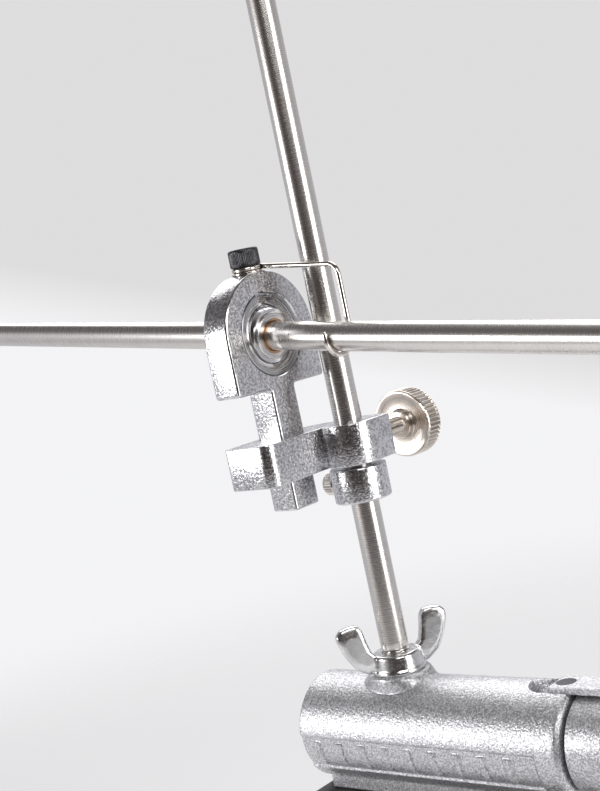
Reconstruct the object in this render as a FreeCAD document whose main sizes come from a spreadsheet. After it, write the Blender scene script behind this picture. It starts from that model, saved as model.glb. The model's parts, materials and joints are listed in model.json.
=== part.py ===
"""Guided-rod honing guide: table clamp, flip head, post, bearing arm, guide rod and stone holder.

Row frame: millimetres, +Z up. The origin is on the face that rests on the table, below the post.
+X runs along the barrel towards the blade jaws, and +Y completes a right-handed frame.
Heights in the sizes and profiles are counted from the barrel's axis, which stands AXIS_HEIGHT
above the table.
"""
import FreeCAD
import Part
import Sketcher
import math
import os
import re

SIZES = {
    # barrel casting
    "barrel_radius": 15.4, "barrel_rear": -30.0, "barrel_front": 58.0, "barrel_bore": 9.0,
    "boss_radius": 8.8, "seat_height": 17.4, "panel_depth": 0.6, "panel_front": 51.0,
    "panel_sweep": 42.0, "rib_width": 2.4, "rib_pitch": 8.2, "rib_count": 9.0,
    "foot_rear": -25.0, "foot_front": 46.0, "foot_half_width": 10.6, "foot_base": -16.0,
    "slot_rear": 44.2, "slot_half_width": 4.8, "slot_floor": 10.5, "tab_screw_x": 54.6,
    "tab_rear": 50.0, "tab_front": 68.0, "tab_top": 15.9, "tab_screw_radius": 1.5,
    "panel_tilt": 107.0, "bush_length": 12.0,
    # table clamp
    "arm_half_width": 18.0, "arm_thickness": 8.0, "frame_front": 52.0, "spine_thickness": 14.0,
    "spine_half_width": 13.0, "lower_arm_top": -92.0, "lower_arm_base": -104.0,
    "clamp_x": -6.0, "clamp_thread": 5.9, "clamp_boss": 12.0, "foot_screw_rear": -14.0,
    "foot_screw_front": 20.0, "foot_screw_radius": 3.0, "table_pad_thickness": 3.0,
    "pad_foot_top": -67.5, "pad_foot_radius": 16.0, "bar_height": -160.0, "bar_radius": 3.5,
    "bar_half_length": 45.0, "swivel_neck": 4.0, "swivel_height": 10.0, "bar_hub": 9.0,
    "bar_knob_radius": 5.5, "bar_knob_length": 9.0,
    # post and wing nut
    "post_radius": 4.0, "post_thread": 3.7, "post_tip": 5.2, "thread_top": 24.5, "post_top": 245.0,
    "wing_angle": 54.0, "wing_hub": 8.0, "wing_hub_height": 5.6, "wing_half_thickness": 1.3,
    "wing_reach": 16.3, "wing_top": 15.8,
    # flip head and jaws
    "shaft_radius": 6.97, "shaft_rear": -22.0, "bush_bore": 7.02, "collar_rear": 59.0,
    "collar_front": 71.0, "head_radius": 13.6, "stop_radius": 11.2, "stop_pin": 1.25,
    "jaw_front": 122.0, "jaw_half_width": 22.0, "jaw_gap": 3.0, "jaw_screw_x": 98.0,
    "jaw_screw_radius": 3.0, "guide_pin_x": 82.0, "guide_pin_y": 15.0, "guide_pin_radius": 2.0,
    "jaw_rear": 76.0, "jaw_top": 9.0, "jaw_base": -11.0, "jaw_knee": 106.0, "jaw_web": 88.0,
    "jaw_spring_seat": 4.8, "jaw_knob_radius": 9.0, "jaw_knob_top": 18.6,
    # stop collar and bracket
    "ring_base": 67.5, "ring_top": 77.4, "ring_radius": 8.1, "bracket_base": 78.2,
    "bracket_top": 89.9, "bracket_boss": 8.2, "block_end": 8.4, "slide_fit": 0.05,
    "arm_front": -4.4, "arm_back": -20.5, "arm_end": -30.2, "thumb_thread": 2.5,
    "knob_face": 23.2, "knob_end": 29.7, "knob_radius": 10.0, "knob_hub": 4.2,
    "grip_screw_head": 11.5, "lock_screw_radius": 2.0, "lock_screw_rise": 1.2,
    # eye casting and bearing
    "eye_front": -8.76, "eye_thickness": 9.0, "eye_y": -13.8, "eye_z": 118.6,
    "eye_radius": 17.8, "eye_base": 103.8, "stem_half_width": 4.8, "stem_base": 69.3,
    "race_radius": 11.0, "race_width": 7.0, "ball_radius": 9.0, "ball_width": 10.0,
    "bush_radius": 6.0, "hook_wire": 0.75, "hook_loop": 3.4, "hook_reach": 29.3,
    "clip_width": 0.45, "seat_depth": 0.4, "washer_radius": 4.3, "washer_thickness": 0.6,
    "cap_shank": 2.45, "cap_head": 4.25, "cap_height": 5.0,
    # guide rod and stone holder, measured along the rod from the ball's centre
    "rod_radius": 4.0, "rod_rear": -150.0, "rod_front": 402.0, "rod_yaw": -3.69,
    "rod_dip": 7.02, "stop_ring_rear": 118.0, "stop_ring_length": 8.0, "slider_rear": 138.0,
    "block_length": 12.0, "stone_gap": 150.5, "block_half_width": 10.0, "block_top": 8.0,
    "block_drop": 14.0, "lip_height": 2.0, "lip_reach": 2.5, "grip_front": 406.0,
}

doc = FreeCAD.newDocument("honing_guide")
sheet = doc.addObject("Spreadsheet::Sheet", "Sizes")
for row, (alias, size) in enumerate(SIZES.items(), start=1):
    sheet.set(f"A{row}", alias)
    sheet.set(f"B{row}", str(size))
    sheet.setAlias(f"B{row}", alias)
doc.recompute()

AXIS_HEIGHT = "arm_thickness - foot_base + table_pad_thickness"
NO_TURN = ("0", "0", "0")
ALONG_X = ("0", "90", "0")
ALONG_MINUS_X = ("0", "-90", "0")
ALONG_Y = ("0", "0", "-90")
ALONG_MINUS_Y = ("0", "0", "90")
ALONG_ROD = ("rod_yaw", "90 + rod_dip", "0")
EYE_CENTRE = ("eye_front - eye_thickness / 2", "eye_y", "eye_z")


def bound(text):
    """An expression whose size names point at the sheet."""
    return re.sub(r"[a-z_]+", lambda word: f"Sizes.{word.group()}" if word.group() in SIZES
                  else word.group(), str(text))


def value(text):
    """The number an expression has now."""
    return float(sheet.evalExpression(re.sub(r"Sizes\.", "", bound(text))))


def place(item, position=("0", "0", "0"), turn=NO_TURN, datum=AXIS_HEIGHT):
    """Put a sub-part at a position from the barrel's axis, turned by yaw, pitch and roll."""
    x, y, z = bound(position[0]), bound(position[1]), bound(f"{position[2]} + {datum}")
    yaw, pitch, roll = (bound(term) for term in turn)
    item.setExpression("Placement", f"create(<<placement>>; create(<<vector>>; {x}; {y}; {z}); "
                                    f"create(<<rotation>>; {yaw}; {pitch}; {roll}))")
    return item


def new_body(label, position=("0", "0", "0"), turn=NO_TURN):
    """An empty body with its node name and its place."""
    body = doc.addObject("PartDesign::Body", label)
    body.Label = label
    return place(body, position, turn)


def origin_part(body, role):
    """One of the body's own origin planes or axes."""
    return [part for part in body.Origin.OriginFeatures if part.Role == role][0]


def new_sketch(body, role, offset="0", tilt=0.0):
    """A sketch on an origin plane, moved along its normal, or tilted about its own x axis."""
    sketch = body.newObject("Sketcher::SketchObject", "Sketch")
    sketch.AttachmentSupport = [(origin_part(body, role), "")]
    sketch.MapMode = "FlatFace"
    turn = FreeCAD.Rotation(FreeCAD.Vector(1, 0, 0), tilt)
    sketch.AttachmentOffset = FreeCAD.Placement(FreeCAD.Vector(), turn)
    if offset != "0":
        sketch.setExpression("AttachmentOffset.Base.z", bound(offset))
    return sketch


def fix_point(sketch, geometry, point, x, y):
    """Hold one point of a sketch at two bound coordinates."""
    for kind, text in (("DistanceX", x), ("DistanceY", y)):
        index = sketch.addConstraint(Sketcher.Constraint(kind, geometry, point, value(text)))
        sketch.setExpression(f"Constraints[{index}]", bound(text))


def outline(sketch, corners):
    """A closed outline of straight sides through bound corners."""
    points = [FreeCAD.Vector(value(x), value(y), 0) for x, y in corners]
    first = sketch.GeometryCount
    count = len(points)
    for index in range(count):
        sketch.addGeometry(Part.LineSegment(points[index], points[(index + 1) % count]))
    for index in range(count):
        follower = first + (index + 1) % count
        sketch.addConstraint(Sketcher.Constraint("Coincident", first + index, 2, follower, 1))
    for index, (x, y) in enumerate(corners):
        fix_point(sketch, first + index, 1, x, y)
    return sketch


def rectangle(sketch, low_x, high_x, low_y, high_y):
    """A rectangle between bound sides."""
    corners = [(low_x, low_y), (high_x, low_y), (high_x, high_y), (low_x, high_y)]
    return outline(sketch, corners)


def circle(sketch, x, y, radius):
    """A circle with a bound centre and radius."""
    centre = FreeCAD.Vector(value(x), value(y), 0)
    index = sketch.addGeometry(Part.Circle(centre, FreeCAD.Vector(0, 0, 1), value(radius)))
    fix_point(sketch, index, 3, x, y)
    row = sketch.addConstraint(Sketcher.Constraint("Radius", index, value(radius)))
    sketch.setExpression(f"Constraints[{row}]", bound(radius))
    return sketch


def pad(body, sketch, length, symmetric=False):
    """Extrude a sketch along its normal, or half to each side."""
    feature = body.newObject("PartDesign::Pad", "Pad")
    feature.Profile = sketch
    feature.setExpression("Length", bound(length))
    if symmetric:
        feature.SideType = "Symmetric"
    doc.recompute()
    return feature


def removed(body, feature, before):
    """Stop if a cutting feature took nothing away."""
    doc.recompute()
    if body.Shape.Volume > before - 1e-3:
        raise RuntimeError(f"{body.Label}: {feature.Name} cuts nothing")
    return feature


def pocket(body, sketch, length, forward=False):
    """Cut a sketch against its normal, or along it."""
    before = body.Shape.Volume
    feature = body.newObject("PartDesign::Pocket", "Pocket")
    feature.Profile = sketch
    feature.setExpression("Length", bound(length))
    feature.Reversed = forward
    return removed(body, feature, before)


def revolve(body, sketch, axis="Z_Axis", sweep="360"):
    """Turn a sketch about an axis, half to each side when it isn't a full turn."""
    feature = body.newObject("PartDesign::Revolution", "Revolution")
    feature.Profile = sketch
    feature.ReferenceAxis = (origin_part(body, axis), [""])
    feature.setExpression("Angle", bound(sweep))
    feature.Midplane = sweep != "360"
    doc.recompute()
    return feature


def groove(body, sketch, axis="X_Axis", sweep="360"):
    """Cut a sketch turned about an axis, half to each side when it isn't a full turn."""
    before = body.Shape.Volume
    feature = body.newObject("PartDesign::Groove", "Groove")
    feature.Profile = sketch
    feature.ReferenceAxis = (origin_part(body, axis), [""])
    feature.setExpression("Angle", bound(sweep))
    feature.Midplane = sweep != "360"
    return removed(body, feature, before)


def dress(body, kind, size, wanted):
    """Round or bevel the edges of the body's tip for which wanted(edge) is true."""
    tip = body.Tip
    names = [f"Edge{number}" for number, edge in enumerate(tip.Shape.Edges, start=1) if wanted(edge)]
    if not names:
        raise RuntimeError(f"{body.Label}: no edge to {kind}")
    feature = body.newObject(f"PartDesign::{kind}", kind)
    feature.Base = (tip, names)
    if kind == "Fillet":
        feature.Radius = size
    else:
        feature.Size = size
    doc.recompute()
    if "Invalid" in feature.State or "Error" in feature.State:
        raise RuntimeError(f"{body.Label}: {kind} failed on {len(names)} edges")
    return feature


def ring_edge(radius, **at):
    """A test for a whole circle of a radius whose centre has the given coordinates."""
    def wanted(edge):
        if not isinstance(edge.Curve, Part.Circle) or abs(edge.Curve.Radius - radius) > 0.01:
            return False
        centre = edge.Curve.Center
        return all(abs(getattr(centre, axis) - place_on) < 0.01 for axis, place_on in at.items())
    return wanted


def line_edge(direction, **at):
    """A test for a straight edge along x, y or z whose middle has the given coordinates."""
    def wanted(edge):
        if not isinstance(edge.Curve, Part.Line):
            return False
        run = edge.Curve.Direction
        if abs(abs(getattr(run, direction)) - 1.0) > 1e-6:
            return False
        middle = edge.valueAt((edge.FirstParameter + edge.LastParameter) / 2)
        return all(abs(getattr(middle, axis) - place_on) < 0.01 for axis, place_on in at.items())
    return wanted


def any_of(*tests):
    """A test that any of several tests passes."""
    return lambda edge: any(test(edge) for test in tests)


def turned(label, profile, position=("0", "0", "0"), turn=NO_TURN):
    """A turned piece: corners are (radius, height along its own axis)."""
    body = new_body(label, position, turn)
    revolve(body, outline(new_sketch(body, "XZ_Plane"), profile))
    return body


def cylinder(name, radius, length, position, turn=NO_TURN):
    """A plain cylinder."""
    item = doc.addObject("Part::Cylinder", name)
    item.Label = name
    item.setExpression("Radius", bound(radius))
    item.setExpression("Height", bound(length))
    return place(item, position, turn)


def group(label, members):
    """Identical loose pieces in one node."""
    item = doc.addObject("Part::Compound", label)
    item.Label = label
    item.Links = members
    doc.recompute()
    return item


def spring(label, radius, wire, pitch, start, length, position, turn=NO_TURN):
    """An open coil spring along its own z axis: straight lengths of wire between turned sections."""
    reach, height, begin = value(radius), value(length), value(start)
    turns = height / value(pitch)
    count = round(turns * 8)
    sections = []
    for step in range(count + 1):
        angle = 2 * math.pi * turns * step / count
        centre = FreeCAD.Vector(reach * math.cos(angle), reach * math.sin(angle),
                                begin + height * step / count)
        heading = FreeCAD.Vector(-reach * math.sin(angle), reach * math.cos(angle),
                                 value(pitch) / (2 * math.pi))
        circle_of_wire = Part.Circle(centre, heading, value(wire))
        circle_of_wire.XAxis = FreeCAD.Vector(math.cos(angle), math.sin(angle), 0)
        sections.append(Part.Wire([circle_of_wire.toShape()]))
    middle = count // 2
    lower, upper = (Part.makeLoft(half, True, True)
                    for half in (sections[:middle + 1], sections[middle:]))
    coil = doc.addObject("Part::Feature", label)
    coil.Label = label
    coil.Shape = lower.fuse(upper).Solids[0]
    return place(coil, position, turn)


def make_barrel_casting():
    """The barrel with its foot, post boss, side panel of raised ribs, bore and top slot."""
    body = new_body("barrel_casting")
    barrel = circle(new_sketch(body, "YZ_Plane", "barrel_rear"), "0", "0", "barrel_radius")
    pad(body, barrel, "barrel_front - barrel_rear")
    pad(body, circle(new_sketch(body, "XY_Plane"), "0", "0", "boss_radius"), "seat_height")
    foot = new_sketch(body, "XY_Plane", "foot_base")
    rectangle(foot, "foot_rear", "foot_front", "-foot_half_width", "foot_half_width")
    pad(body, foot, "-foot_base - 6")
    half_width = value("foot_half_width")
    meet = -math.sqrt(value("barrel_radius") ** 2 - half_width ** 2)
    dress(body, "Fillet", 2.6, any_of(line_edge("x", y=half_width, z=meet),
                                      line_edge("x", y=-half_width, z=meet)))
    panel = new_sketch(body, "XZ_Plane", tilt=value("panel_tilt"))
    rectangle(panel, "barrel_rear - 1", "panel_front", "barrel_radius - panel_depth",
              "barrel_radius + 2")
    groove(body, panel, sweep="panel_sweep")
    rib = new_sketch(body, "XZ_Plane", tilt=value("panel_tilt"))
    rectangle(rib, "barrel_rear + 5", "barrel_rear + 5 + rib_width", "barrel_radius - 2",
              "barrel_radius")
    first_rib = revolve(body, rib, "X_Axis", "panel_sweep - 15")
    ribs = body.newObject("PartDesign::LinearPattern", "Ribs")
    ribs.Originals = [first_rib]
    ribs.Direction = (origin_part(body, "X_Axis"), [""])
    ribs.setExpression("Length", bound("rib_pitch * (rib_count - 1)"))
    ribs.setExpression("Occurrences", bound("rib_count"))
    body.Tip = ribs
    doc.recompute()
    bore = circle(new_sketch(body, "YZ_Plane", "barrel_rear"), "0", "0", "barrel_bore")
    pocket(body, bore, "barrel_front - barrel_rear", forward=True)
    slot = new_sketch(body, "XY_Plane", "seat_height + 1")
    rectangle(slot, "slot_rear + slot_half_width", "barrel_front + 1", "-slot_half_width",
              "slot_half_width")
    pocket(body, slot, "seat_height + 1 - slot_floor")
    slot_end = new_sketch(body, "XY_Plane", "seat_height + 1")
    circle(slot_end, "slot_rear + slot_half_width", "0", "slot_half_width")
    pocket(body, slot_end, "seat_height + 1 - slot_floor")
    drilled = new_sketch(body, "XY_Plane", "seat_height + 1")
    circle(drilled, "0", "0", "post_thread")
    circle(drilled, "tab_screw_x", "0", "tab_screw_radius")
    pocket(body, drilled, "seat_height + 1 - barrel_bore + 2")
    tapped = new_sketch(body, "XY_Plane", "foot_base")
    circle(tapped, "foot_screw_rear", "0", "foot_screw_radius")
    circle(tapped, "foot_screw_front", "0", "foot_screw_radius")
    pocket(body, tapped, "5.5", forward=True)
    pin_hole = circle(new_sketch(body, "YZ_Plane", "barrel_front"), "0", "-stop_radius", "stop_pin")
    pocket(body, pin_hole, "8")
    front, rear = value("barrel_front"), value("barrel_rear")
    dress(body, "Chamfer", 1.3, ring_edge(value("barrel_radius"), x=front))
    dress(body, "Fillet", 0.6, ring_edge(value("barrel_radius"), x=rear))
    dress(body, "Fillet", 0.8, ring_edge(value("boss_radius"), z=value("seat_height")))
    return body


def make_clamp_frame():
    """The C-shaped frame that reaches over and under a table top."""
    body = new_body("clamp_frame")
    upper = new_sketch(body, "XZ_Plane")
    rectangle(upper, "barrel_rear", "frame_front", "foot_base - arm_thickness", "foot_base")
    pad(body, upper, "arm_half_width * 2", symmetric=True)
    throat = outline(new_sketch(body, "XZ_Plane"), [
        ("frame_front", "foot_base"), ("frame_front", "lower_arm_base"),
        ("clamp_x - 14", "lower_arm_base"), ("clamp_x - 14", "lower_arm_top"),
        ("frame_front - spine_thickness", "lower_arm_top"),
        ("frame_front - spine_thickness", "foot_base")])
    pad(body, throat, "spine_half_width * 2", symmetric=True)
    boss = circle(new_sketch(body, "XY_Plane", "lower_arm_base - 3"), "clamp_x", "0", "clamp_boss")
    pad(body, boss, "lower_arm_top - lower_arm_base + 5")
    inner = value("frame_front - spine_thickness")
    upper_base, lower_top = value("foot_base - arm_thickness"), value("lower_arm_top")
    front, base = value("frame_front"), value("lower_arm_base")
    dress(body, "Fillet", 7.0, any_of(line_edge("y", x=inner, z=upper_base),
                                      line_edge("y", x=inner, z=lower_top),
                                      line_edge("y", x=front, z=base)))
    side, rear = value("arm_half_width"), value("barrel_rear")
    dress(body, "Fillet", 4.0, any_of(*(line_edge("z", x=end, y=edge)
                                        for end in (rear, front) for edge in (side, -side))))
    thread = circle(new_sketch(body, "XY_Plane", "lower_arm_top + 3"), "clamp_x", "0",
                    "clamp_thread + slide_fit")
    pocket(body, thread, "lower_arm_top - lower_arm_base + 8")
    screw_radius = value("foot_screw_radius + 0.1")
    holes = new_sketch(body, "XY_Plane", "foot_base")
    for x in ("foot_screw_rear", "foot_screw_front"):
        circle(holes, x, "0", "foot_screw_radius + 0.1")
    pocket(body, holes, "arm_thickness")
    dress(body, "Chamfer", 3.0, ring_edge(screw_radius, z=upper_base))
    return body


def make_foot_screws():
    """Two countersunk screws that hold the barrel's foot to the clamp frame."""
    head = "foot_base - arm_thickness"
    profile = [("0", head), ("foot_screw_radius + 3", head), ("foot_screw_radius", f"{head} + 3"),
               ("foot_screw_radius", "foot_base + 5"), ("0", "foot_base + 5")]
    pair = [turned(f"foot_screw_{end}", profile, (f"foot_screw_{end}", "0", "0"))
            for end in ("rear", "front")]
    return group("foot_screws", pair)


def make_table_pad():
    """The rubber pad under the upper arm."""
    body = new_body("table_pad")
    top = "foot_base - arm_thickness"
    sketch = new_sketch(body, "XY_Plane", f"{top} - table_pad_thickness")
    rectangle(sketch, "barrel_rear + 2", "frame_front - spine_thickness - 8",
              "-arm_half_width + 3", "arm_half_width - 3")
    pad(body, sketch, "table_pad_thickness")
    return body


def make_clamp_screw_set():
    """The swivel foot, its rubber, the clamp screw, and the bar with its two end knobs."""
    rubber, bore = "pad_foot_top - 2.5", "swivel_neck + slide_fit"
    base = f"{rubber} - swivel_height"
    foot = turned("swivel_foot", [
        (bore, base), ("9", base), ("9", f"{base} + 4.5"), ("pad_foot_radius", f"{rubber} - 4"),
        ("pad_foot_radius", rubber), ("0", rubber), ("0", f"{rubber} - 3.9"),
        (bore, f"{rubber} - 3.9")], ("clamp_x", "0", "0"))
    pad_rubber = turned("foot_rubber", [
        ("0", rubber), ("pad_foot_radius - 0.5", rubber),
        ("pad_foot_radius - 0.5", "pad_foot_top - 0.8"), ("pad_foot_radius - 1.3", "pad_foot_top"),
        ("0", "pad_foot_top")], ("clamp_x", "0", "0"))
    screw = turned("clamp_screw", [
        ("0", f"{rubber} - 4"), ("swivel_neck - 0.5", f"{rubber} - 4"),
        ("swivel_neck", f"{rubber} - 4.5"), ("swivel_neck", f"{base} - 0.1"),
        ("clamp_thread", f"{base} - 0.1"), ("clamp_thread", "bar_height + 10"),
        ("bar_hub", "bar_height + 8"), ("bar_hub", "bar_height - 8"),
        ("bar_hub - 2", "bar_height - 10"), ("0", "bar_height - 10")], ("clamp_x", "0", "0"))
    cross = circle(new_sketch(screw, "XZ_Plane", "12"), "0", "bar_height", "bar_radius")
    pocket(screw, cross, "24")
    bar = cylinder("tommy_bar", "bar_radius", "bar_half_length * 2",
                   ("clamp_x", "-bar_half_length", "bar_height"), ALONG_Y)
    knob = [("bar_radius", "0"), ("bar_knob_radius", "0"), ("bar_knob_radius", "bar_knob_length - 2"),
            ("bar_knob_radius - 1.5", "bar_knob_length"), ("0", "bar_knob_length"), ("0", "6"),
            ("bar_radius", "6")]
    knobs = group("bar_knobs", [
        turned("bar_knob_left", knob, ("clamp_x", "bar_half_length - 6", "bar_height"), ALONG_Y),
        turned("bar_knob_right", knob, ("clamp_x", "-bar_half_length + 6", "bar_height"),
               ALONG_MINUS_Y)])
    return [foot, pad_rubber, screw, bar, knobs]


def make_post():
    """The ground post, threaded into the barrel with its tip in the shaft's groove."""
    return turned("post", [
        ("0", "post_tip"), ("post_thread - 0.6", "post_tip"), ("post_thread", "post_tip + 0.8"),
        ("post_thread", "thread_top"), ("post_radius", "thread_top + 0.4"),
        ("post_radius", "post_top - 1"), ("post_radius - 1", "post_top"), ("0", "post_top")])


def make_wing_nut():
    """The wing nut that locks the post."""
    body = new_body("wing_nut", ("0", "0", "seat_height"), ("wing_angle", "0", "0"))
    hub = [("post_thread + 0.1", "0"), ("wing_hub - 0.3", "0"), ("wing_hub - 0.3", "1"),
           ("wing_hub - 1.2", "wing_hub_height"), ("post_thread + 0.1", "wing_hub_height")]
    revolve(body, outline(new_sketch(body, "XZ_Plane"), hub))
    wing = [("5", "0.4"), ("8.8", "0.7"), ("12.3", "3.2"), ("14.6", "7.2"),
            ("wing_reach", "wing_top - 3.6"), ("wing_reach - 1.1", "wing_top - 1.6"),
            ("12.8", "wing_top - 0.4"), ("9.8", "wing_top"), ("8.9", "11"), ("7.6", "7.2"),
            ("5", "4.8")]
    for side in ("", "-"):
        corners = [(f"{side}({x})", y) for x, y in wing]
        pad(body, outline(new_sketch(body, "XZ_Plane"), corners), "wing_half_thickness * 2",
            symmetric=True)
    return body


def make_barrel_fittings():
    """Bushes, rear cap, spring washer, index tab, its screw and the head's stop pin."""
    ring = [("bush_bore", "0"), ("barrel_bore", "0"), ("barrel_bore", "bush_length"),
            ("bush_bore", "bush_length")]
    rear_bush = turned("rear_bush", ring, ("shaft_rear", "0", "0"), ALONG_X)
    front_bush = turned("front_bush", ring, ("barrel_front - bush_length", "0", "0"), ALONG_X)
    cap = turned("rear_cap", [
        ("0", "0"), ("barrel_bore - 0.8", "0"), ("barrel_bore", "0.8"), ("barrel_bore", "5"),
        ("barrel_bore - 1.5", "5"), ("barrel_bore - 1.5", "1.6"), ("0", "1.6")],
        ("barrel_rear", "0", "0"), ALONG_X)
    washer = turned("spring_washer", [("bush_bore + 0.3", "0.1"), ("9.6", "0.1"), ("9.6", "0.9"),
                                      ("bush_bore + 0.3", "0.9")], ("barrel_front", "0", "0"), ALONG_X)
    tab = new_body("index_tab")
    side = outline(new_sketch(tab, "XZ_Plane"), [
        ("tab_rear", "slot_floor"), ("barrel_front - 0.4", "slot_floor"),
        ("barrel_front - 0.4", "head_radius + 0.4"), ("tab_front", "head_radius + 0.4"),
        ("tab_front", "tab_top - 0.6"), ("tab_front - 0.8", "tab_top"),
        ("tab_rear + 1.6", "tab_top"), ("tab_rear", "tab_top - 1.5")])
    pad(tab, side, "slot_half_width * 2 - 0.6", symmetric=True)
    hole = circle(new_sketch(tab, "XY_Plane", "tab_top + 0.1"), "tab_screw_x", "0",
                  "tab_screw_radius")
    pocket(tab, hole, "tab_top - slot_floor + 0.6")
    dress(tab, "Chamfer", 1.3, ring_edge(value("tab_screw_radius"), z=value("tab_top")))
    tab_screw = turned("index_tab_screw", [
        ("0", "barrel_bore + 0.1"), ("tab_screw_radius", "barrel_bore + 0.1"),
        ("tab_screw_radius", "tab_top - 1.3"), ("tab_screw_radius + 1.2", "tab_top - 0.1"),
        ("0", "tab_top - 0.1")], ("tab_screw_x", "0", "0"))
    pin = cylinder("stop_pin", "stop_pin", "11.4", ("barrel_front - 8", "0", "-stop_radius"), ALONG_X)
    return [rear_bush, front_bush, cap, washer, tab, tab_screw, pin]


def make_head_casting():
    """The flip head: shaft, collar with its stop groove, and the lower jaw."""
    body = new_body("head_casting")
    shaft = circle(new_sketch(body, "YZ_Plane", "shaft_rear"), "0", "0", "shaft_radius")
    pad(body, shaft, "collar_rear - shaft_rear + 1")
    collar = circle(new_sketch(body, "YZ_Plane", "collar_rear"), "0", "0", "head_radius")
    pad(body, collar, "collar_front - collar_rear")
    neck = outline(new_sketch(body, "XZ_Plane"), [
        ("collar_front - 1", "jaw_base + 1"), ("jaw_web - 4", "jaw_base"),
        ("jaw_web - 4", "-jaw_gap / 2"), ("jaw_rear - 2", "-jaw_gap / 2"),
        ("collar_front + 1", "6"), ("collar_front - 1", "8")])
    pad(body, neck, "22", symmetric=True)
    jaw = outline(new_sketch(body, "XZ_Plane"), [
        ("jaw_rear", "jaw_base"), ("jaw_web", "jaw_base"), ("jaw_front", "-4.6"),
        ("jaw_front", "-jaw_gap / 2"), ("jaw_rear", "-jaw_gap / 2")])
    pad(body, jaw, "jaw_half_width * 2", symmetric=True)
    side, ends = value("jaw_half_width"), (value("jaw_rear"), value("jaw_front"))
    dress(body, "Fillet", 4.0, any_of(*(line_edge("z", x=end, y=edge)
                                        for end in ends for edge in (side, -side))))
    groove(body, rectangle(new_sketch(body, "XZ_Plane"), "-4.6", "4.6", "post_tip - 0.2",
                           "shaft_radius + 1"))
    stop = new_sketch(body, "XZ_Plane", tilt=90.0)
    rectangle(stop, "collar_rear - 1", "collar_rear + 3", "stop_radius - stop_pin - 0.1",
              "stop_radius + stop_pin + 0.1")
    groove(body, stop, sweep="195")
    holes = new_sketch(body, "XY_Plane", "-jaw_gap / 2")
    circle(holes, "jaw_screw_x", "0", "jaw_screw_radius + slide_fit")
    for sign in ("", "-"):
        circle(holes, "guide_pin_x", f"{sign}guide_pin_y", "guide_pin_radius")
    pocket(body, holes, "12")
    seat = circle(new_sketch(body, "XY_Plane", "-jaw_gap / 2"), "jaw_screw_x", "0",
                  "jaw_spring_seat")
    pocket(body, seat, "4")
    return body


def make_jaw_parts():
    """The guide pins, lift spring, upper jaw and jaw screw."""
    pins = group("guide_pins", [
        cylinder(f"guide_pin_{name}", "guide_pin_radius", "14",
                 ("guide_pin_x", f"{sign}guide_pin_y", "-9"))
        for name, sign in (("left", ""), ("right", "-"))])
    lift = spring("jaw_spring", "4", "0.4", "1.5", "-jaw_gap / 2 - 3.5", "jaw_gap + 2.7",
                  ("jaw_screw_x", "0", "0"))
    jaw = new_body("upper_jaw")
    side = outline(new_sketch(jaw, "XZ_Plane"), [
        ("jaw_rear", "jaw_gap / 2"), ("jaw_front", "jaw_gap / 2"), ("jaw_front", "4.4"),
        ("jaw_knee", "jaw_top"), ("jaw_rear + 1.5", "jaw_top"), ("jaw_rear", "jaw_top - 1.5")])
    pad(jaw, side, "jaw_half_width * 2 - 2", symmetric=True)
    side, ends = value("jaw_half_width - 1"), (value("jaw_rear"), value("jaw_front"))
    dress(jaw, "Fillet", 3.0, any_of(*(line_edge("z", x=end, y=edge)
                                       for end in ends for edge in (side, -side))))
    holes = new_sketch(jaw, "XY_Plane", "jaw_top + 1")
    circle(holes, "jaw_screw_x", "0", "jaw_screw_radius + 0.3")
    for sign in ("", "-"):
        circle(holes, "guide_pin_x", f"{sign}guide_pin_y", "guide_pin_radius + slide_fit")
    pocket(jaw, holes, "jaw_top + 1")
    screw = turned("jaw_screw", [
        ("0", "-8.6"), ("jaw_screw_radius - 0.6", "-8.6"), ("jaw_screw_radius", "-8"),
        ("jaw_screw_radius", "jaw_top + 0.05"), ("5", "jaw_top + 0.05"), ("5", "jaw_top + 1.6"),
        ("jaw_knob_radius - 0.4", "jaw_top + 1.6"), ("jaw_knob_radius", "jaw_top + 2"),
        ("jaw_knob_radius", "jaw_knob_top - 1.6"), ("jaw_knob_radius - 0.6", "jaw_knob_top - 0.8"),
        ("6", "jaw_knob_top - 0.2"), ("0", "jaw_knob_top")], ("jaw_screw_x", "0", "0"))
    return [pins, lift, jaw, screw]


def make_stop_collar():
    """The collar that carries the bracket, and its set screw."""
    body = turned("stop_collar", [
        ("post_radius + slide_fit", "ring_base"), ("ring_radius - 0.5", "ring_base"),
        ("ring_radius", "ring_base + 0.5"), ("ring_radius", "ring_top - 0.5"),
        ("ring_radius - 0.5", "ring_top"), ("post_radius + slide_fit", "ring_top")])
    middle = "(ring_base + ring_top) / 2"
    pocket(body, circle(new_sketch(body, "YZ_Plane"), "0", middle, "2"), "10")
    screw = turned("collar_screw", [
        ("0", "post_radius + 0.1"), ("1.4", "post_radius + 0.1"), ("1.95", "post_radius + 0.7"),
        ("1.95", "ring_radius + 0.1"), ("3.3", "ring_radius + 0.1"), ("3.3", "grip_screw_head"),
        ("3", "grip_screw_head + 0.3"), ("0", "grip_screw_head + 0.3")],
        ("0", "0", middle), ALONG_MINUS_X)
    return [body, screw]


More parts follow.
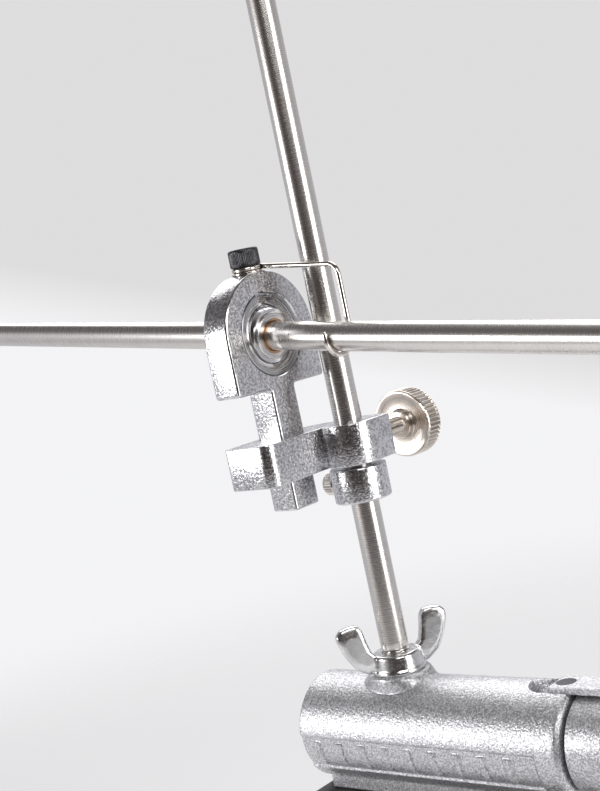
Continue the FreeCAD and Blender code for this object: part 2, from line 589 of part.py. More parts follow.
def make_bracket():
    """The bracket: a boss on the post, a square end for the thumb screw and the stem arm."""
    body = new_body("bracket")
    height = "bracket_top - bracket_base"
    pad(body, circle(new_sketch(body, "XY_Plane", "bracket_base"), "0", "0", "bracket_boss"), height)
    end = new_sketch(body, "XY_Plane", "bracket_base")
    pad(body, rectangle(end, "-bracket_boss", "bracket_boss", "0", "block_end"), height)
    arm = outline(new_sketch(body, "XY_Plane", "bracket_base"), [
        ("arm_front", "arm_end"), ("arm_front", "-1"), ("-bracket_boss + 1", "4"), ("-12", "2"),
        ("arm_back", "-5"), ("arm_back", "arm_end")])
    pad(body, arm, height)
    front, end_y, back = value("arm_front"), value("arm_end"), value("arm_back")
    dress(body, "Fillet", 3.4, line_edge("z", x=front, y=end_y))
    dress(body, "Fillet", 1.0, line_edge("z", x=back, y=end_y))
    tops = (value("bracket_top"), value("bracket_base"))
    dress(body, "Chamfer", 0.35, lambda edge: any(
        max(abs(vertex.Z - level) for vertex in edge.Vertexes) < 0.01 for level in tops))
    bore = circle(new_sketch(body, "XY_Plane", "bracket_top"), "0", "0", "post_radius + slide_fit")
    pocket(body, bore, height)
    stem = new_sketch(body, "XY_Plane", "bracket_top")
    rectangle(stem, "eye_front - eye_thickness - 0.08", "eye_front + 0.08",
              "eye_y - stem_half_width - 0.08", "eye_y + stem_half_width + 0.08")
    pocket(body, stem, height)
    middle = "(bracket_top + bracket_base) / 2"
    thumb = circle(new_sketch(body, "XZ_Plane", "-3"), "0", middle, "thumb_thread + slide_fit")
    pocket(body, thumb, "block_end - 3")
    lock_y, lock_z = "eye_y - 2", f"{middle} + lock_screw_rise"
    lock = circle(new_sketch(body, "YZ_Plane", "eye_front - eye_thickness"), lock_y, lock_z,
                  "lock_screw_radius")
    pocket(body, lock, "4")
    lock_screw = turned("stem_lock_screw", [
        ("0", "0.08"), ("lock_screw_radius", "0.08"), ("lock_screw_radius", "2.84"),
        ("3.5", "2.84"), ("3.5", "6"), ("3", "6.4"), ("0", "6.4")],
        ("eye_front - eye_thickness", lock_y, lock_z), ALONG_MINUS_X)
    return [body, lock_screw]


def make_thumb_screw():
    """The brass-tipped thumb screw that grips the post."""
    middle = "(bracket_top + bracket_base) / 2"
    tip = turned("thumb_screw_tip", [
        ("0", "post_radius + 0.02"), ("1.8", "post_radius + 0.02"), ("2.2", "post_radius + 0.5"),
        ("2.2", "6"), ("0", "6")], ("0", "0", middle), ALONG_Y)
    screw = turned("thumb_screw", [
        ("0", "6.02"), ("thumb_thread - 0.4", "6.02"), ("thumb_thread", "6.5"),
        ("thumb_thread", "knob_face - 1.4"), ("knob_hub", "knob_face - 1.4"),
        ("knob_hub", "knob_face"),
        ("knob_radius - 0.6", "knob_face"), ("knob_radius", "knob_face + 0.6"),
        ("knob_radius", "knob_end - 0.6"), ("knob_radius - 0.6", "knob_end"), ("0", "knob_end")],
        ("0", "0", middle), ALONG_Y)
    return [tip, screw]


def make_eye_casting():
    """The arched eye with its square stem, bearing bore and screw seat."""
    body = new_body("eye_casting")
    back = "eye_front - eye_thickness"
    pad(body, circle(new_sketch(body, "YZ_Plane", back), "eye_y", "eye_z", "eye_radius"),
        "eye_thickness")
    lower = new_sketch(body, "YZ_Plane", back)
    rectangle(lower, "eye_y - eye_radius", "eye_y + eye_radius", "eye_base", "eye_z")
    pad(body, lower, "eye_thickness")
    stem = new_sketch(body, "YZ_Plane", back)
    rectangle(stem, "eye_y - stem_half_width", "eye_y + stem_half_width", "stem_base",
              "eye_base + 1")
    pad(body, stem, "eye_thickness")
    faces = (value("eye_front"), value(back))
    dress(body, "Chamfer", 0.6, lambda edge: any(
        max(abs(vertex.X - level) for vertex in edge.Vertexes) < 0.01 for level in faces))
    through = circle(new_sketch(body, "YZ_Plane", "eye_front"), "eye_y", "eye_z", "race_radius - 1.2")
    pocket(body, through, "eye_thickness")
    seat = circle(new_sketch(body, "YZ_Plane", "eye_front"), "eye_y", "eye_z", "race_radius")
    pocket(body, seat, "(eye_thickness + race_width) / 2")
    clip = circle(new_sketch(body, "YZ_Plane", "eye_front"), "eye_y", "eye_z",
                  "race_radius + 0.5")
    pocket(body, clip, "(eye_thickness - race_width) / 2")
    dress(body, "Chamfer", 0.8, ring_edge(value("race_radius + 0.5"), x=value("eye_front")))
    for radius, depth in (("washer_radius + 0.15", "seat_depth"), ("cap_shank + 0.05", "5.6")):
        seat = new_sketch(body, "XY_Plane", "eye_z + eye_radius + 1")
        circle(seat, "eye_front - eye_thickness / 2", "eye_y", radius)
        pocket(body, seat, f"{depth} + 1")
    return body


def barrelled_ring(label, sphere_radius, half_width, inner, outer, turn):
    """A ring about its own z axis with one spherical side: the outside, or the inside."""
    body = new_body(label, EYE_CENTRE, turn)
    sketch = new_sketch(body, "XZ_Plane")
    sphere, half = value(sphere_radius), value(half_width)
    reach = math.sqrt(sphere ** 2 - half ** 2)
    flat = outer or inner
    side = value(flat)
    low, high = FreeCAD.Vector(reach, -half, 0), FreeCAD.Vector(reach, half, 0)
    flat_low, flat_high = FreeCAD.Vector(side, -half, 0), FreeCAD.Vector(side, half, 0)
    sketch.addGeometry(Part.Arc(low, FreeCAD.Vector(sphere, 0, 0), high))
    for first, second in ((high, flat_high), (flat_high, flat_low), (flat_low, low)):
        sketch.addGeometry(Part.LineSegment(first, second))
    for first, second in ((0, 1), (1, 2), (2, 3)):
        sketch.addConstraint(Sketcher.Constraint("Coincident", first, 2, second, 1))
    sketch.addConstraint(Sketcher.Constraint("Coincident", 3, 2, 0, 1))
    sketch.addConstraint(Sketcher.Constraint("Horizontal", 1))
    fix_point(sketch, 0, 3, "0", "0")
    fix_point(sketch, 0, 1, f"sqrt(({sphere_radius}) ^ 2 - ({half_width}) ^ 2)", f"-({half_width})")
    fix_point(sketch, 2, 1, flat, half_width)
    fix_point(sketch, 3, 1, flat, f"-({half_width})")
    revolve(body, sketch)
    return body


def make_bearing():
    """The spherical bearing, its retaining ring and the bush that the rod runs in."""
    race = barrelled_ring("bearing_race", "ball_radius + slide_fit", "race_width / 2", None,
                          "race_radius", ALONG_X)
    core = barrelled_ring("bearing_ball", "ball_radius", "ball_width / 2",
                          "bush_radius + slide_fit", None, ALONG_ROD)
    clip = new_body("race_clip", EYE_CENTRE, ALONG_X)
    section = new_sketch(clip, "XZ_Plane")
    rectangle(section, "race_radius - 1.1", "race_radius + clip_width", "race_width / 2 + 0.05",
              "race_width / 2 + 0.9")
    revolve(clip, section, sweep="330")
    lip, edge = "bush_radius + 0.5", "ball_width / 2"
    bush = turned("rod_bush", [
        ("rod_radius + slide_fit", f"-{edge} - 0.8"), (lip, f"-{edge} - 0.8"),
        (lip, f"-{edge} - 0.05"), ("bush_radius", f"-{edge} - 0.05"),
        ("bush_radius", f"{edge} + 0.05"), (lip, f"{edge} + 0.05"), (lip, f"{edge} + 0.8"),
        ("rod_radius + slide_fit", f"{edge} + 0.8")], EYE_CENTRE, ALONG_ROD)
    return [race, clip, core, bush]


def make_hook_screw():
    """The socket cap screw and washer on top of the eye."""
    centre = ("eye_front - eye_thickness / 2", "eye_y", "eye_z + eye_radius - seat_depth")
    bore = "cap_shank + 0.15"
    washer = turned("hook_washer", [
        (bore, "0"), ("washer_radius", "0"), ("washer_radius", "washer_thickness"),
        (bore, "washer_thickness")], centre)
    seat = "washer_thickness + 0.05 + hook_wire * 2"
    top = f"{seat} + cap_height"
    screw = turned("hook_screw", [
        ("0", "-5"), ("cap_shank - 0.45", "-5"), ("cap_shank", "-4.4"), ("cap_shank", seat),
        ("cap_head", seat), ("cap_head", f"{top} - 0.6"), ("cap_head - 0.35", top), ("0", top)],
        centre)
    socket = new_sketch(screw, "XY_Plane", top)
    reach = 2.31
    outline(socket, [(f"{reach * math.cos(math.radians(60 * turn)):.4f}",
                      f"{reach * math.sin(math.radians(60 * turn)):.4f}") for turn in range(6)])
    pocket(screw, socket, "2.6")
    return [washer, screw]


def bent_arc(centre, first, second, radius, start, stop):
    """An arc in the plane of two directions, from one angle to another, as an edge."""
    corners = []
    for degrees in (start, (start + stop) / 2, stop):
        angle = math.radians(degrees)
        corners.append(centre + first * (radius * math.cos(angle))
                       + second * (radius * math.sin(angle)))
    return Part.Arc(*corners).toShape(), corners


def round_wire(radius, path):
    """Round wire along a run of straight and circular edges."""
    lengths = []
    for edge in path:
        start, along = edge.valueAt(edge.FirstParameter), edge.tangentAt(edge.FirstParameter)
        disc = Part.Face(Part.Wire([Part.Circle(start, along, radius).toShape()]))
        if isinstance(edge.Curve, Part.Circle):
            turn = math.degrees(edge.LastParameter - edge.FirstParameter)
            lengths.append(disc.revolve(edge.Curve.Center, edge.Curve.Axis, turn))
        else:
            lengths.append(disc.extrude(along * edge.Length))
    return lengths[0].fuse(lengths[1:]).removeSplitter()


def make_rod_hook():
    """The bent wire: a loop under the cap screw, a bar over the rod, a leg and a rest."""
    loop, reach, wire = value("hook_loop"), value("hook_reach"), value("hook_wire")
    height = value("eye_radius - seat_depth + washer_thickness + 0.025 + hook_wire")
    side = value("rod_radius + 0.15 + hook_wire")
    bend, ease, tip_length, level_length = 3.6, 4.0, 1.3, 2.8
    dip = value("rod_dip")
    slope = math.radians(dip)
    heading = math.atan2(side, reach) - math.asin(loop / math.hypot(side, reach))
    level = FreeCAD.Vector(math.cos(heading), math.sin(heading), 0)
    outward = FreeCAD.Vector(-math.sin(heading), math.cos(heading), 0)
    across, up = FreeCAD.Vector(0, 1, 0), FreeCAD.Vector(0, 0, 1)
    first, _ = bent_arc(up * height, level, outward, loop, 385, 249)
    second, (*_, loop_end) = bent_arc(up * height, level, outward, loop, 249, 90)
    ease_start = loop_end + level * level_length
    easing, (*_, bar_start) = bent_arc(ease_start - up * ease, level, up, ease, 90, 90 - dip)
    level_run = math.hypot(side - loop_end.y, reach - loop_end.x) - bend + bend * math.sin(slope)
    level_run -= (bar_start - loop_end).dot(level)
    bar_end = bar_start + level * level_run - up * (level_run * math.tan(slope))
    bend_centre = bar_end - level * (bend * math.sin(slope)) - up * (bend * math.cos(slope))
    corner, (*_, leg_top) = bent_arc(bend_centre, level, up, bend, 90 - dip, 0)
    rest_centre = FreeCAD.Vector(leg_top.x, 0, -reach * math.tan(slope))
    rest, (leg_base, _, tip) = bent_arc(rest_centre, across, up, side, 0, -180)
    hook = doc.addObject("Part::Feature", "rod_hook")
    hook.Label = "rod_hook"
    hook.Shape = round_wire(wire, [
        first, second, Part.LineSegment(loop_end, ease_start).toShape(), easing,
        Part.LineSegment(bar_start, bar_end).toShape(), corner,
        Part.LineSegment(leg_top, leg_base).toShape(), rest,
        Part.LineSegment(tip, tip + up * tip_length).toShape()])
    return place(hook, EYE_CENTRE, ("rod_yaw", "0", "0"))


def rod_piece(label, profile):
    """A turned piece on the guide rod's axis."""
    return turned(label, profile, EYE_CENTRE, ALONG_ROD)


def stone_block(label, start, bore, lip_start):
    """A stone block on the rod with a lip under the stone's end."""
    body = new_body(label, EYE_CENTRE, ALONG_ROD)
    sketch = new_sketch(body, "XY_Plane", start)
    rectangle(sketch, "-block_top", "block_drop", "-block_half_width", "block_half_width")
    pad(body, sketch, "block_length")
    lip = new_sketch(body, "XY_Plane", lip_start)
    rectangle(lip, "block_drop - lip_height", "block_drop", "-block_half_width",
              "block_half_width")
    pad(body, lip, "lip_reach + 1")
    pocket(body, circle(new_sketch(body, "XY_Plane", f"{start} + block_length"), "0", "0", bore),
           "block_length")
    return body


def make_guide_rod():
    """The rod, its end cap, the stone holder and the handle."""
    rod = rod_piece("guide_rod", [
        ("0", "rod_rear"), ("rod_radius - 0.6", "rod_rear"), ("rod_radius", "rod_rear + 0.6"),
        ("rod_radius", "rod_front - 0.6"), ("rod_radius - 0.6", "rod_front"), ("0", "rod_front")])
    cap = rod_piece("rod_end_cap", [
        ("0", "rod_rear - 3"), ("4.6", "rod_rear - 3"), ("5.6", "rod_rear - 2"),
        ("5.6", "rod_rear + 8"), ("rod_radius", "rod_rear + 8"), ("rod_radius", "rod_rear"),
        ("0", "rod_rear")])
    ring_end = "(stop_ring_rear + stop_ring_length)"
    ring = rod_piece("spring_stop_ring", [
        ("rod_radius", "stop_ring_rear"), ("7.5", "stop_ring_rear"), ("8", "stop_ring_rear + 0.5"),
        ("8", f"{ring_end} - 0.5"), ("7.5", ring_end), ("rod_radius", ring_end)])
    slider = stone_block("stone_block_rear", "slider_rear", "rod_radius + slide_fit",
                         "slider_rear + block_length - 1")
    front = "slider_rear + block_length + stone_gap"
    fixed = stone_block("stone_block_front", front, "rod_radius", f"{front} - lip_reach")
    for body, along in ((ring, "stop_ring_rear + stop_ring_length / 2"),
                        (fixed, f"{front} + block_length / 2")):
        pocket(body, circle(new_sketch(body, "YZ_Plane"), "0", along, "2"), "9")
    grub = [("0", "rod_radius + 0.02"), ("1.3", "rod_radius + 0.02"), ("2", "rod_radius + 0.8"),
            ("2", "rod_radius + 3.6"), ("0", "rod_radius + 3.6")]
    grubs = []
    for name, along in (("ring", "stop_ring_rear + stop_ring_length / 2"),
                        ("block", f"{front} + block_length / 2")):
        grub_body = new_body(f"grub_{name}", EYE_CENTRE, ALONG_ROD)
        blank = outline(new_sketch(grub_body, "XZ_Plane"),
                        [(f"-({r})", f"{along} + {x}") for x, r in grub])
        feature = grub_body.newObject("PartDesign::Revolution", "Revolution")
        feature.Profile = blank
        feature.ReferenceAxis = (blank, ["Edge5"])
        doc.recompute()
        grubs.append(grub_body)
    screws = group("holder_screws", grubs)
    coil = spring("stone_spring", "5.6", "0.5", "2.9", f"{ring_end} + 0.6",
                  f"slider_rear - {ring_end} - 1.2", EYE_CENTRE, ALONG_ROD)
    return [rod, cap, ring, slider, fixed, screws, coil]


def make_handle():
    """The handle: ferrule, shaped grip and end cap."""
    start = "slider_rear + block_length * 2 + stone_gap"
    ferrule = rod_piece("handle_ferrule", [
        ("rod_radius", f"{start} + 1"), ("9", f"{start} + 1"), ("9.6", f"{start} + 1.6"),
        ("9.6", f"{start} + 5"), ("rod_radius", f"{start} + 5")])
    grip = rod_piece("handle_grip", [
        ("rod_radius", f"{start} + 5"), ("9.2", f"{start} + 5"), ("10.4", f"{start} + 14"),
        ("9.6", f"{start} + 26"), ("11.4", f"{start} + 46"), ("12.2", f"{start} + 66"),
        ("11.2", f"{start} + 82"), ("9.4", "grip_front"), ("0", "grip_front"), ("0", "rod_front"),
        ("rod_radius", "rod_front")])
    cap = rod_piece("handle_cap", [
        ("0", "grip_front"), ("9.4", "grip_front"), ("9.4", "grip_front + 2.4"),
        ("8", "grip_front + 4"), ("0", "grip_front + 4.6")])
    return [ferrule, grip, cap]


def make_all():
    """Every sub-part, in the order in which the guide is put together."""
    parts = [make_barrel_casting(), make_clamp_frame(), make_foot_screws(), make_table_pad()]
    parts += make_clamp_screw_set()
    parts += [make_post(), make_wing_nut()]
    parts += make_barrel_fittings()
    parts += [make_head_casting()]
    parts += make_jaw_parts()
    parts += make_stop_collar()
    parts += make_bracket()
    parts += make_thumb_screw()
    parts += [make_eye_casting()]
    parts += make_bearing()
    parts += make_hook_screw()
    parts += [make_rod_hook()]
    parts += make_guide_rod()
    parts += make_handle()
    return parts


def check_document():
    """Stop if any object failed to compute."""
    doc.recompute()
    for item in doc.Objects:
        if "Invalid" in item.State or "Error" in item.State:
            owner = item.getParentGeoFeatureGroup()
            raise RuntimeError(f"{owner.Label if owner else ''} {item.Label}: {item.State}")


def main():
    """Build, check and write every sub-part."""
    parts = make_all()
    check_document()
    os.makedirs("parts", exist_ok=True)
    for part in parts:
        if part.Shape.isNull() or not part.Shape.isValid():
            raise RuntimeError(f"{part.Label} has no valid shape")
        part.Shape.exportStep(f"parts/{part.Label}.step")
    print(f"{len(parts)} nodes written")


main()
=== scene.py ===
"""Looks of a guided-rod honing guide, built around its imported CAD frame.

Lengths inside the piece functions are millimetres in the local frame that each piece is given;
every mesh ends up in metres in the row frame. Heights of upright pieces count from the
barrel's axis.
"""

import json
import math

import bmesh
import bpy
from mathutils import Matrix, Vector


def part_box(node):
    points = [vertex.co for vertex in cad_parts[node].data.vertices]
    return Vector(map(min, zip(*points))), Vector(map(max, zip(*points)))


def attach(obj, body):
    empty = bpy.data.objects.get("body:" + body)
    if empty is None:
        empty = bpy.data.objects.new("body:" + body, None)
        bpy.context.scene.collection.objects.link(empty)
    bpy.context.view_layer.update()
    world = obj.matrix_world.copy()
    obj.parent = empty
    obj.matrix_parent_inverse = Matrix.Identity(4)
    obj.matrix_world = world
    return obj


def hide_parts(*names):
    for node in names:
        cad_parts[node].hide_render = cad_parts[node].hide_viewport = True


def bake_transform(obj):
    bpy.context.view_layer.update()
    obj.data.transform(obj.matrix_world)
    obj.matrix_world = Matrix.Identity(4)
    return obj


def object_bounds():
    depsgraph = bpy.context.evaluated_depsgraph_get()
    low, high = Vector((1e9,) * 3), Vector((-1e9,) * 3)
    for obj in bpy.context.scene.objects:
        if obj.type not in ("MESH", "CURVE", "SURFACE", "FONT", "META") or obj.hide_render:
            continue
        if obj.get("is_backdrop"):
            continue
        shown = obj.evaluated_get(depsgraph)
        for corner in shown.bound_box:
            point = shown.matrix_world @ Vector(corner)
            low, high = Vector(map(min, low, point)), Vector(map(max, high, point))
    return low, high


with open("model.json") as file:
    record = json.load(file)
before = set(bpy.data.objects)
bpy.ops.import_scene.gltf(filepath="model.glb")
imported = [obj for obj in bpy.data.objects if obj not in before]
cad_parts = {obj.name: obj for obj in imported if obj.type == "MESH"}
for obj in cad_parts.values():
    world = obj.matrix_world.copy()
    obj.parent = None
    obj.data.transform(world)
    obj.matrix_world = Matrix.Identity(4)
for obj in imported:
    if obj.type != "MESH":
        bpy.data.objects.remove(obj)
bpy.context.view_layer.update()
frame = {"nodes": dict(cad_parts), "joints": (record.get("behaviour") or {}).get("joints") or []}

MM = 0.001
FULL = 2 * math.pi
SHARP_ANGLE = math.radians(38)
ROD_RADIUS, RUNNING_BORE = 4.0, 4.05

joints = {joint["name"]: joint for joint in frame["joints"]}
AXIS = Vector((0, 0, joints["head_flip"]["pos_m"][2]))
EYE = Vector(joints["hook_yaw"]["pos_m"])
ROD_AXIS = Vector(joints["rod_stroke"]["axis"]).normalized()
EYE_Z = (EYE.z - AXIS.z) / MM
EYE_X, EYE_Y = EYE.x / MM, EYE.y / MM
UP, EAST, NORTH = Vector((0, 0, 1)), Vector((1, 0, 0)), Vector((0, 1, 0))


def local_frame(origin, along, side):
    """A frame whose z runs along one direction and whose x leans to another."""
    z_axis = along.normalized()
    x_axis = (side - z_axis * side.dot(z_axis)).normalized()
    y_axis = z_axis.cross(x_axis)
    turn = Matrix((x_axis, y_axis, z_axis)).transposed().to_4x4()
    return Matrix.Translation(origin) @ turn


def node_height(node):
    """The middle height of a CAD node, in metres."""
    low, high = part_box(node)
    return (low.z + high.z) / 2


UPRIGHT = local_frame(AXIS, UP, EAST)
BARREL = local_frame(AXIS, EAST, UP)
ROD = local_frame(EYE, ROD_AXIS, -UP)
EYE_PLATE = local_frame(AXIS, EAST, NORTH)
THUMB = local_frame(Vector((0, 0, node_height("bracket"))), NORTH, UP)
RING_SCREW = local_frame(Vector((0, 0, node_height("collar_screw"))), -EAST, UP)
STEM_SCREW_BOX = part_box("stem_lock_screw")
STEM_SCREW = local_frame(Vector((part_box("eye_casting")[0].x, sum(p.y for p in STEM_SCREW_BOX) / 2,
                                 node_height("stem_lock_screw"))), -EAST, UP)
CLAMP = local_frame(Vector((joints["clamp_screw_turn"]["pos_m"][0], 0, AXIS.z)), UP, EAST)
SIDE = local_frame(AXIS, -NORTH, EAST)


# ---------------------------------------------------------------- materials

class Nodes:
    """A small wrapper for building a node tree."""

    def __init__(self, owner):
        owner.use_nodes = True
        self.tree = owner.node_tree

    def node(self, kind, **settings):
        made = self.tree.nodes.new("ShaderNode" + kind)
        for key, setting in settings.items():
            setattr(made, key, setting)
        return made

    def link(self, source, target):
        self.tree.links.new(source, target)

    def feed(self, socket, source):
        """Set a socket from another socket or from a plain value."""
        if hasattr(source, "is_output"):
            self.link(source, socket)
        else:
            socket.default_value = source

    def inputs(self, kind, values, **settings):
        """A node with its inputs fed by name or number."""
        made = self.node(kind, **settings)
        for key, source in values.items():
            self.feed(made.inputs[key], source)
        return made


class Shader(Nodes):
    """A node material."""

    def __init__(self, name):
        self.material = bpy.data.materials.new(name)
        super().__init__(self.material)
        self.bsdf = self.tree.nodes["Principled BSDF"]
        self.place = self.node("TexCoord").outputs["Object"]

    def math(self, operation, first, second=0.0, clamp=False):
        return self.inputs("Math", {0: first, 1: second}, operation=operation,
                           use_clamp=clamp).outputs[0]

    def vector(self, operation, first, second=(0, 0, 0)):
        node = self.inputs("VectorMath", {0: first, 1: second}, operation=operation)
        return node.outputs["Value"] if operation in ("DOT_PRODUCT", "LENGTH") else node.outputs[0]

    def noise(self, scale, detail=2.0, source=None, rough=0.55):
        """Three-dimensional noise; scale is features per metre."""
        return self.inputs("TexNoise", {
            "Scale": scale, "Detail": detail, "Roughness": rough,
            "Vector": source or self.place}).outputs["Fac"]

    def lines(self, coordinate, scale, detail=3.0):
        """Noise along one number, for brushed or turned lines."""
        return self.inputs("TexNoise", {"Scale": scale, "Detail": detail, "W": coordinate},
                           noise_dimensions="1D").outputs["Fac"]

    def along(self, axis):
        """The distance along an axis."""
        return self.vector("DOT_PRODUCT", self.place, tuple(axis))

    def around(self, centre, axis):
        """The distance from a line."""
        offset = self.vector("SUBTRACT", self.place, tuple(centre))
        return self.vector("LENGTH", self.vector("CROSS_PRODUCT", offset, tuple(axis)))

    def spread(self, source, low, high):
        """Map 0..1 to low..high."""
        return self.inputs("MapRange", {
            "From Min": 0.3, "From Max": 0.7, "To Min": low, "To Max": high,
            "Value": source}).outputs["Result"]

    def blend(self, share, first, second):
        """Mix two colours."""
        first, second = (colour if hasattr(colour, "is_output") else (*colour, 1)
                         for colour in (first, second))
        return self.inputs("Mix", {0: share, 6: first, 7: second},
                           data_type="RGBA").outputs[2]

    def bump(self, *layers):
        """Stack bumps; each layer is (height, depth in metres, strength)."""
        previous = None
        for height, depth, strength in layers:
            node = self.inputs("Bump", {"Distance": depth, "Strength": strength,
                                                  "Height": height})
            if previous is not None:
                self.link(previous, node.inputs["Normal"])
            previous = node.outputs["Normal"]
        self.link(previous, self.bsdf.inputs["Normal"])

    def finish(self, colour, metallic, roughness, coat=0.0):
        if hasattr(colour, "is_output"):
            self.link(colour, self.bsdf.inputs["Base Color"])
        else:
            self.bsdf.inputs["Base Color"].default_value = (*colour, 1)
        self.bsdf.inputs["Metallic"].default_value = metallic
        self.feed(self.bsdf.inputs["Roughness"], roughness)
        self.bsdf.inputs["Coat Weight"].default_value = coat
        return self.material


def cast_paint(name, dark, light, roughness, metallic):
    """Sandy metallic paint on a casting: fine grit, sparkle and soft tone changes."""
    shader = Shader(name)
    grit = shader.noise(1300, 2)
    sparkle = shader.noise(1900, 1)
    tone = shader.noise(60, 2)
    share = shader.math("ADD", shader.math("MULTIPLY", shader.spread(sparkle, -0.6, 1.6), 0.75),
                        shader.math("MULTIPLY", tone, 0.25), clamp=True)
    shader.bump((grit, 0.00016, 0.8), (sparkle, 0.0001, 0.8))
    return shader.finish(shader.blend(share, dark, light), metallic,
                         shader.spread(grit, roughness - 0.07, roughness + 0.1))


def blasted_chrome(name, axis):
    """Plated casting: pebbled on its flats and walls, polished on its bevelled rims."""
    shader = Shader(name)
    normal = shader.node("NewGeometry").outputs["Normal"]
    facing = shader.math("ABSOLUTE", shader.vector("DOT_PRODUCT", normal, tuple(axis)))
    rim = shader.math("MULTIPLY", shader.math("GREATER_THAN", facing, 0.2),
                      shader.math("LESS_THAN", facing, 0.97))
    flat = shader.math("SUBTRACT", 1.0, rim)
    pebble = shader.noise(1400, 2)
    grain = shader.noise(2600, 1)
    wear = shader.noise(140, 3)
    shader.bump((pebble, 0.00014, shader.math("MULTIPLY", flat, 0.75)),
                (grain, 0.00005, shader.math("MULTIPLY", flat, 0.6)))
    rough = shader.math("MULTIPLY", flat, shader.spread(pebble, 0.06, 0.18))
    rough = shader.math("ADD", rough, 0.1)
    mottle = shader.math("SUBTRACT", shader.spread(pebble, -0.8, 1.8), 0.5)
    mottle = shader.math("MULTIPLY", mottle, flat)
    share = shader.math("ADD", shader.math("ADD", mottle, 0.5),
                        shader.math("MULTIPLY", wear, 0.3), clamp=True)
    tint = shader.blend(share, (0.46, 0.46, 0.475), (0.76, 0.76, 0.775))
    return shader.finish(tint, 1.0, rough)


def drawn_metal(name, axis, colour, roughness, relief=0.000002):
    """Drawn and ground bar: very fine lines round it, longer faint streaks, small stains."""
    shader = Shader(name)
    fine = shader.lines(shader.along(axis), 7000, 2)
    stain = shader.noise(90, 3)
    dull = tuple(0.86 * part for part in colour)
    shader.bump((fine, relief, 0.35))
    return shader.finish(shader.blend(stain, dull, colour), 1.0,
                         shader.spread(fine, roughness - 0.05, roughness + 0.08))


def turned_metal(name, centre, axis, colour, roughness, rings=4200, relief=0.000006):
    """Lathe-turned metal: fine rings about an axis and a little handling wear."""
    shader = Shader(name)
    ring = shader.lines(shader.around(centre, axis), rings)
    wear = shader.noise(260, 4)
    dull = tuple(0.8 * part for part in colour)
    shader.bump((ring, relief, 0.7), (shader.noise(1500, 2), 0.00001, 0.15))
    return shader.finish(shader.blend(shader.spread(wear, 0, 1), dull, colour), 1.0,
                         shader.spread(ring, roughness - 0.05, roughness + 0.08))


def lined_bush(name, centre, axis):
    """A steel bush with a thin bronze lining at its bore."""
    shader = Shader(name)
    reach = shader.around(centre, axis)
    ring = shader.lines(reach, 4200)
    lining = shader.math("LESS_THAN", reach, 0.0049)
    shader.bump((ring, 0.000006, 0.7))
    colour = shader.blend(lining, (0.66, 0.65, 0.65), (0.52, 0.34, 0.22))
    return shader.finish(colour, 1.0, shader.spread(ring, 0.16, 0.3))


def plated_metal(name, colour, roughness):
    """Plated small parts with a slightly uneven bright skin."""
    shader = Shader(name)
    skin = shader.noise(900, 3)
    wear = shader.noise(180, 4)
    dull = tuple(0.72 * part for part in colour)
    shader.bump((skin, 0.00002, 0.28))
    return shader.finish(shader.blend(shader.spread(wear, 0.1, 1), dull, colour), 1.0,
                         shader.spread(skin, roughness - 0.04, roughness + 0.09))


def black_coat(name, colour, roughness, grit_depth=0.00004, metallic=0.0):
    """Black finishes: oxide, powder coat, anodising or moulded plastic, with a fine grain."""
    shader = Shader(name)
    grit = shader.noise(2400, 3)
    scuff = shader.noise(320, 5)
    worn = tuple(min(1.0, part * 2.4 + 0.01) for part in colour)
    share = shader.math("MULTIPLY", shader.spread(scuff, -0.2, 0.8), 0.5, clamp=True)
    shader.bump((grit, grit_depth, 0.6))
    return shader.finish(shader.blend(share, colour, worn), metallic,
                         shader.spread(grit, roughness - 0.06, roughness + 0.1))


def oiled_wood(name, axis):
    """Beech with rays and growth lines that run along the handle."""
    shader = Shader(name)
    shift = shader.vector("SUBTRACT", shader.place, tuple(EYE))
    long_part = shader.vector("DOT_PRODUCT", shift, tuple(axis))
    stretch = shader.node("VectorMath", operation="SCALE")
    stretch.inputs[0].default_value = tuple(axis)
    shader.link(shader.math("MULTIPLY", long_part, -0.93), stretch.inputs["Scale"])
    grain_place = shader.vector("ADD", shift, stretch.outputs[0])
    growth = shader.noise(260, 4, grain_place)
    pores = shader.noise(1900, 2, grain_place)
    board = shader.blend(shader.spread(growth, 0, 1), (0.33, 0.17, 0.075), (0.56, 0.34, 0.17))
    colour = shader.blend(shader.spread(pores, 0.5, -0.25), board, (0.17, 0.08, 0.035))
    shader.bump((pores, 0.00006, 0.4), (growth, 0.0001, 0.2))
    return shader.finish(colour, 0.0, shader.spread(growth, 0.34, 0.5), coat=0.15)


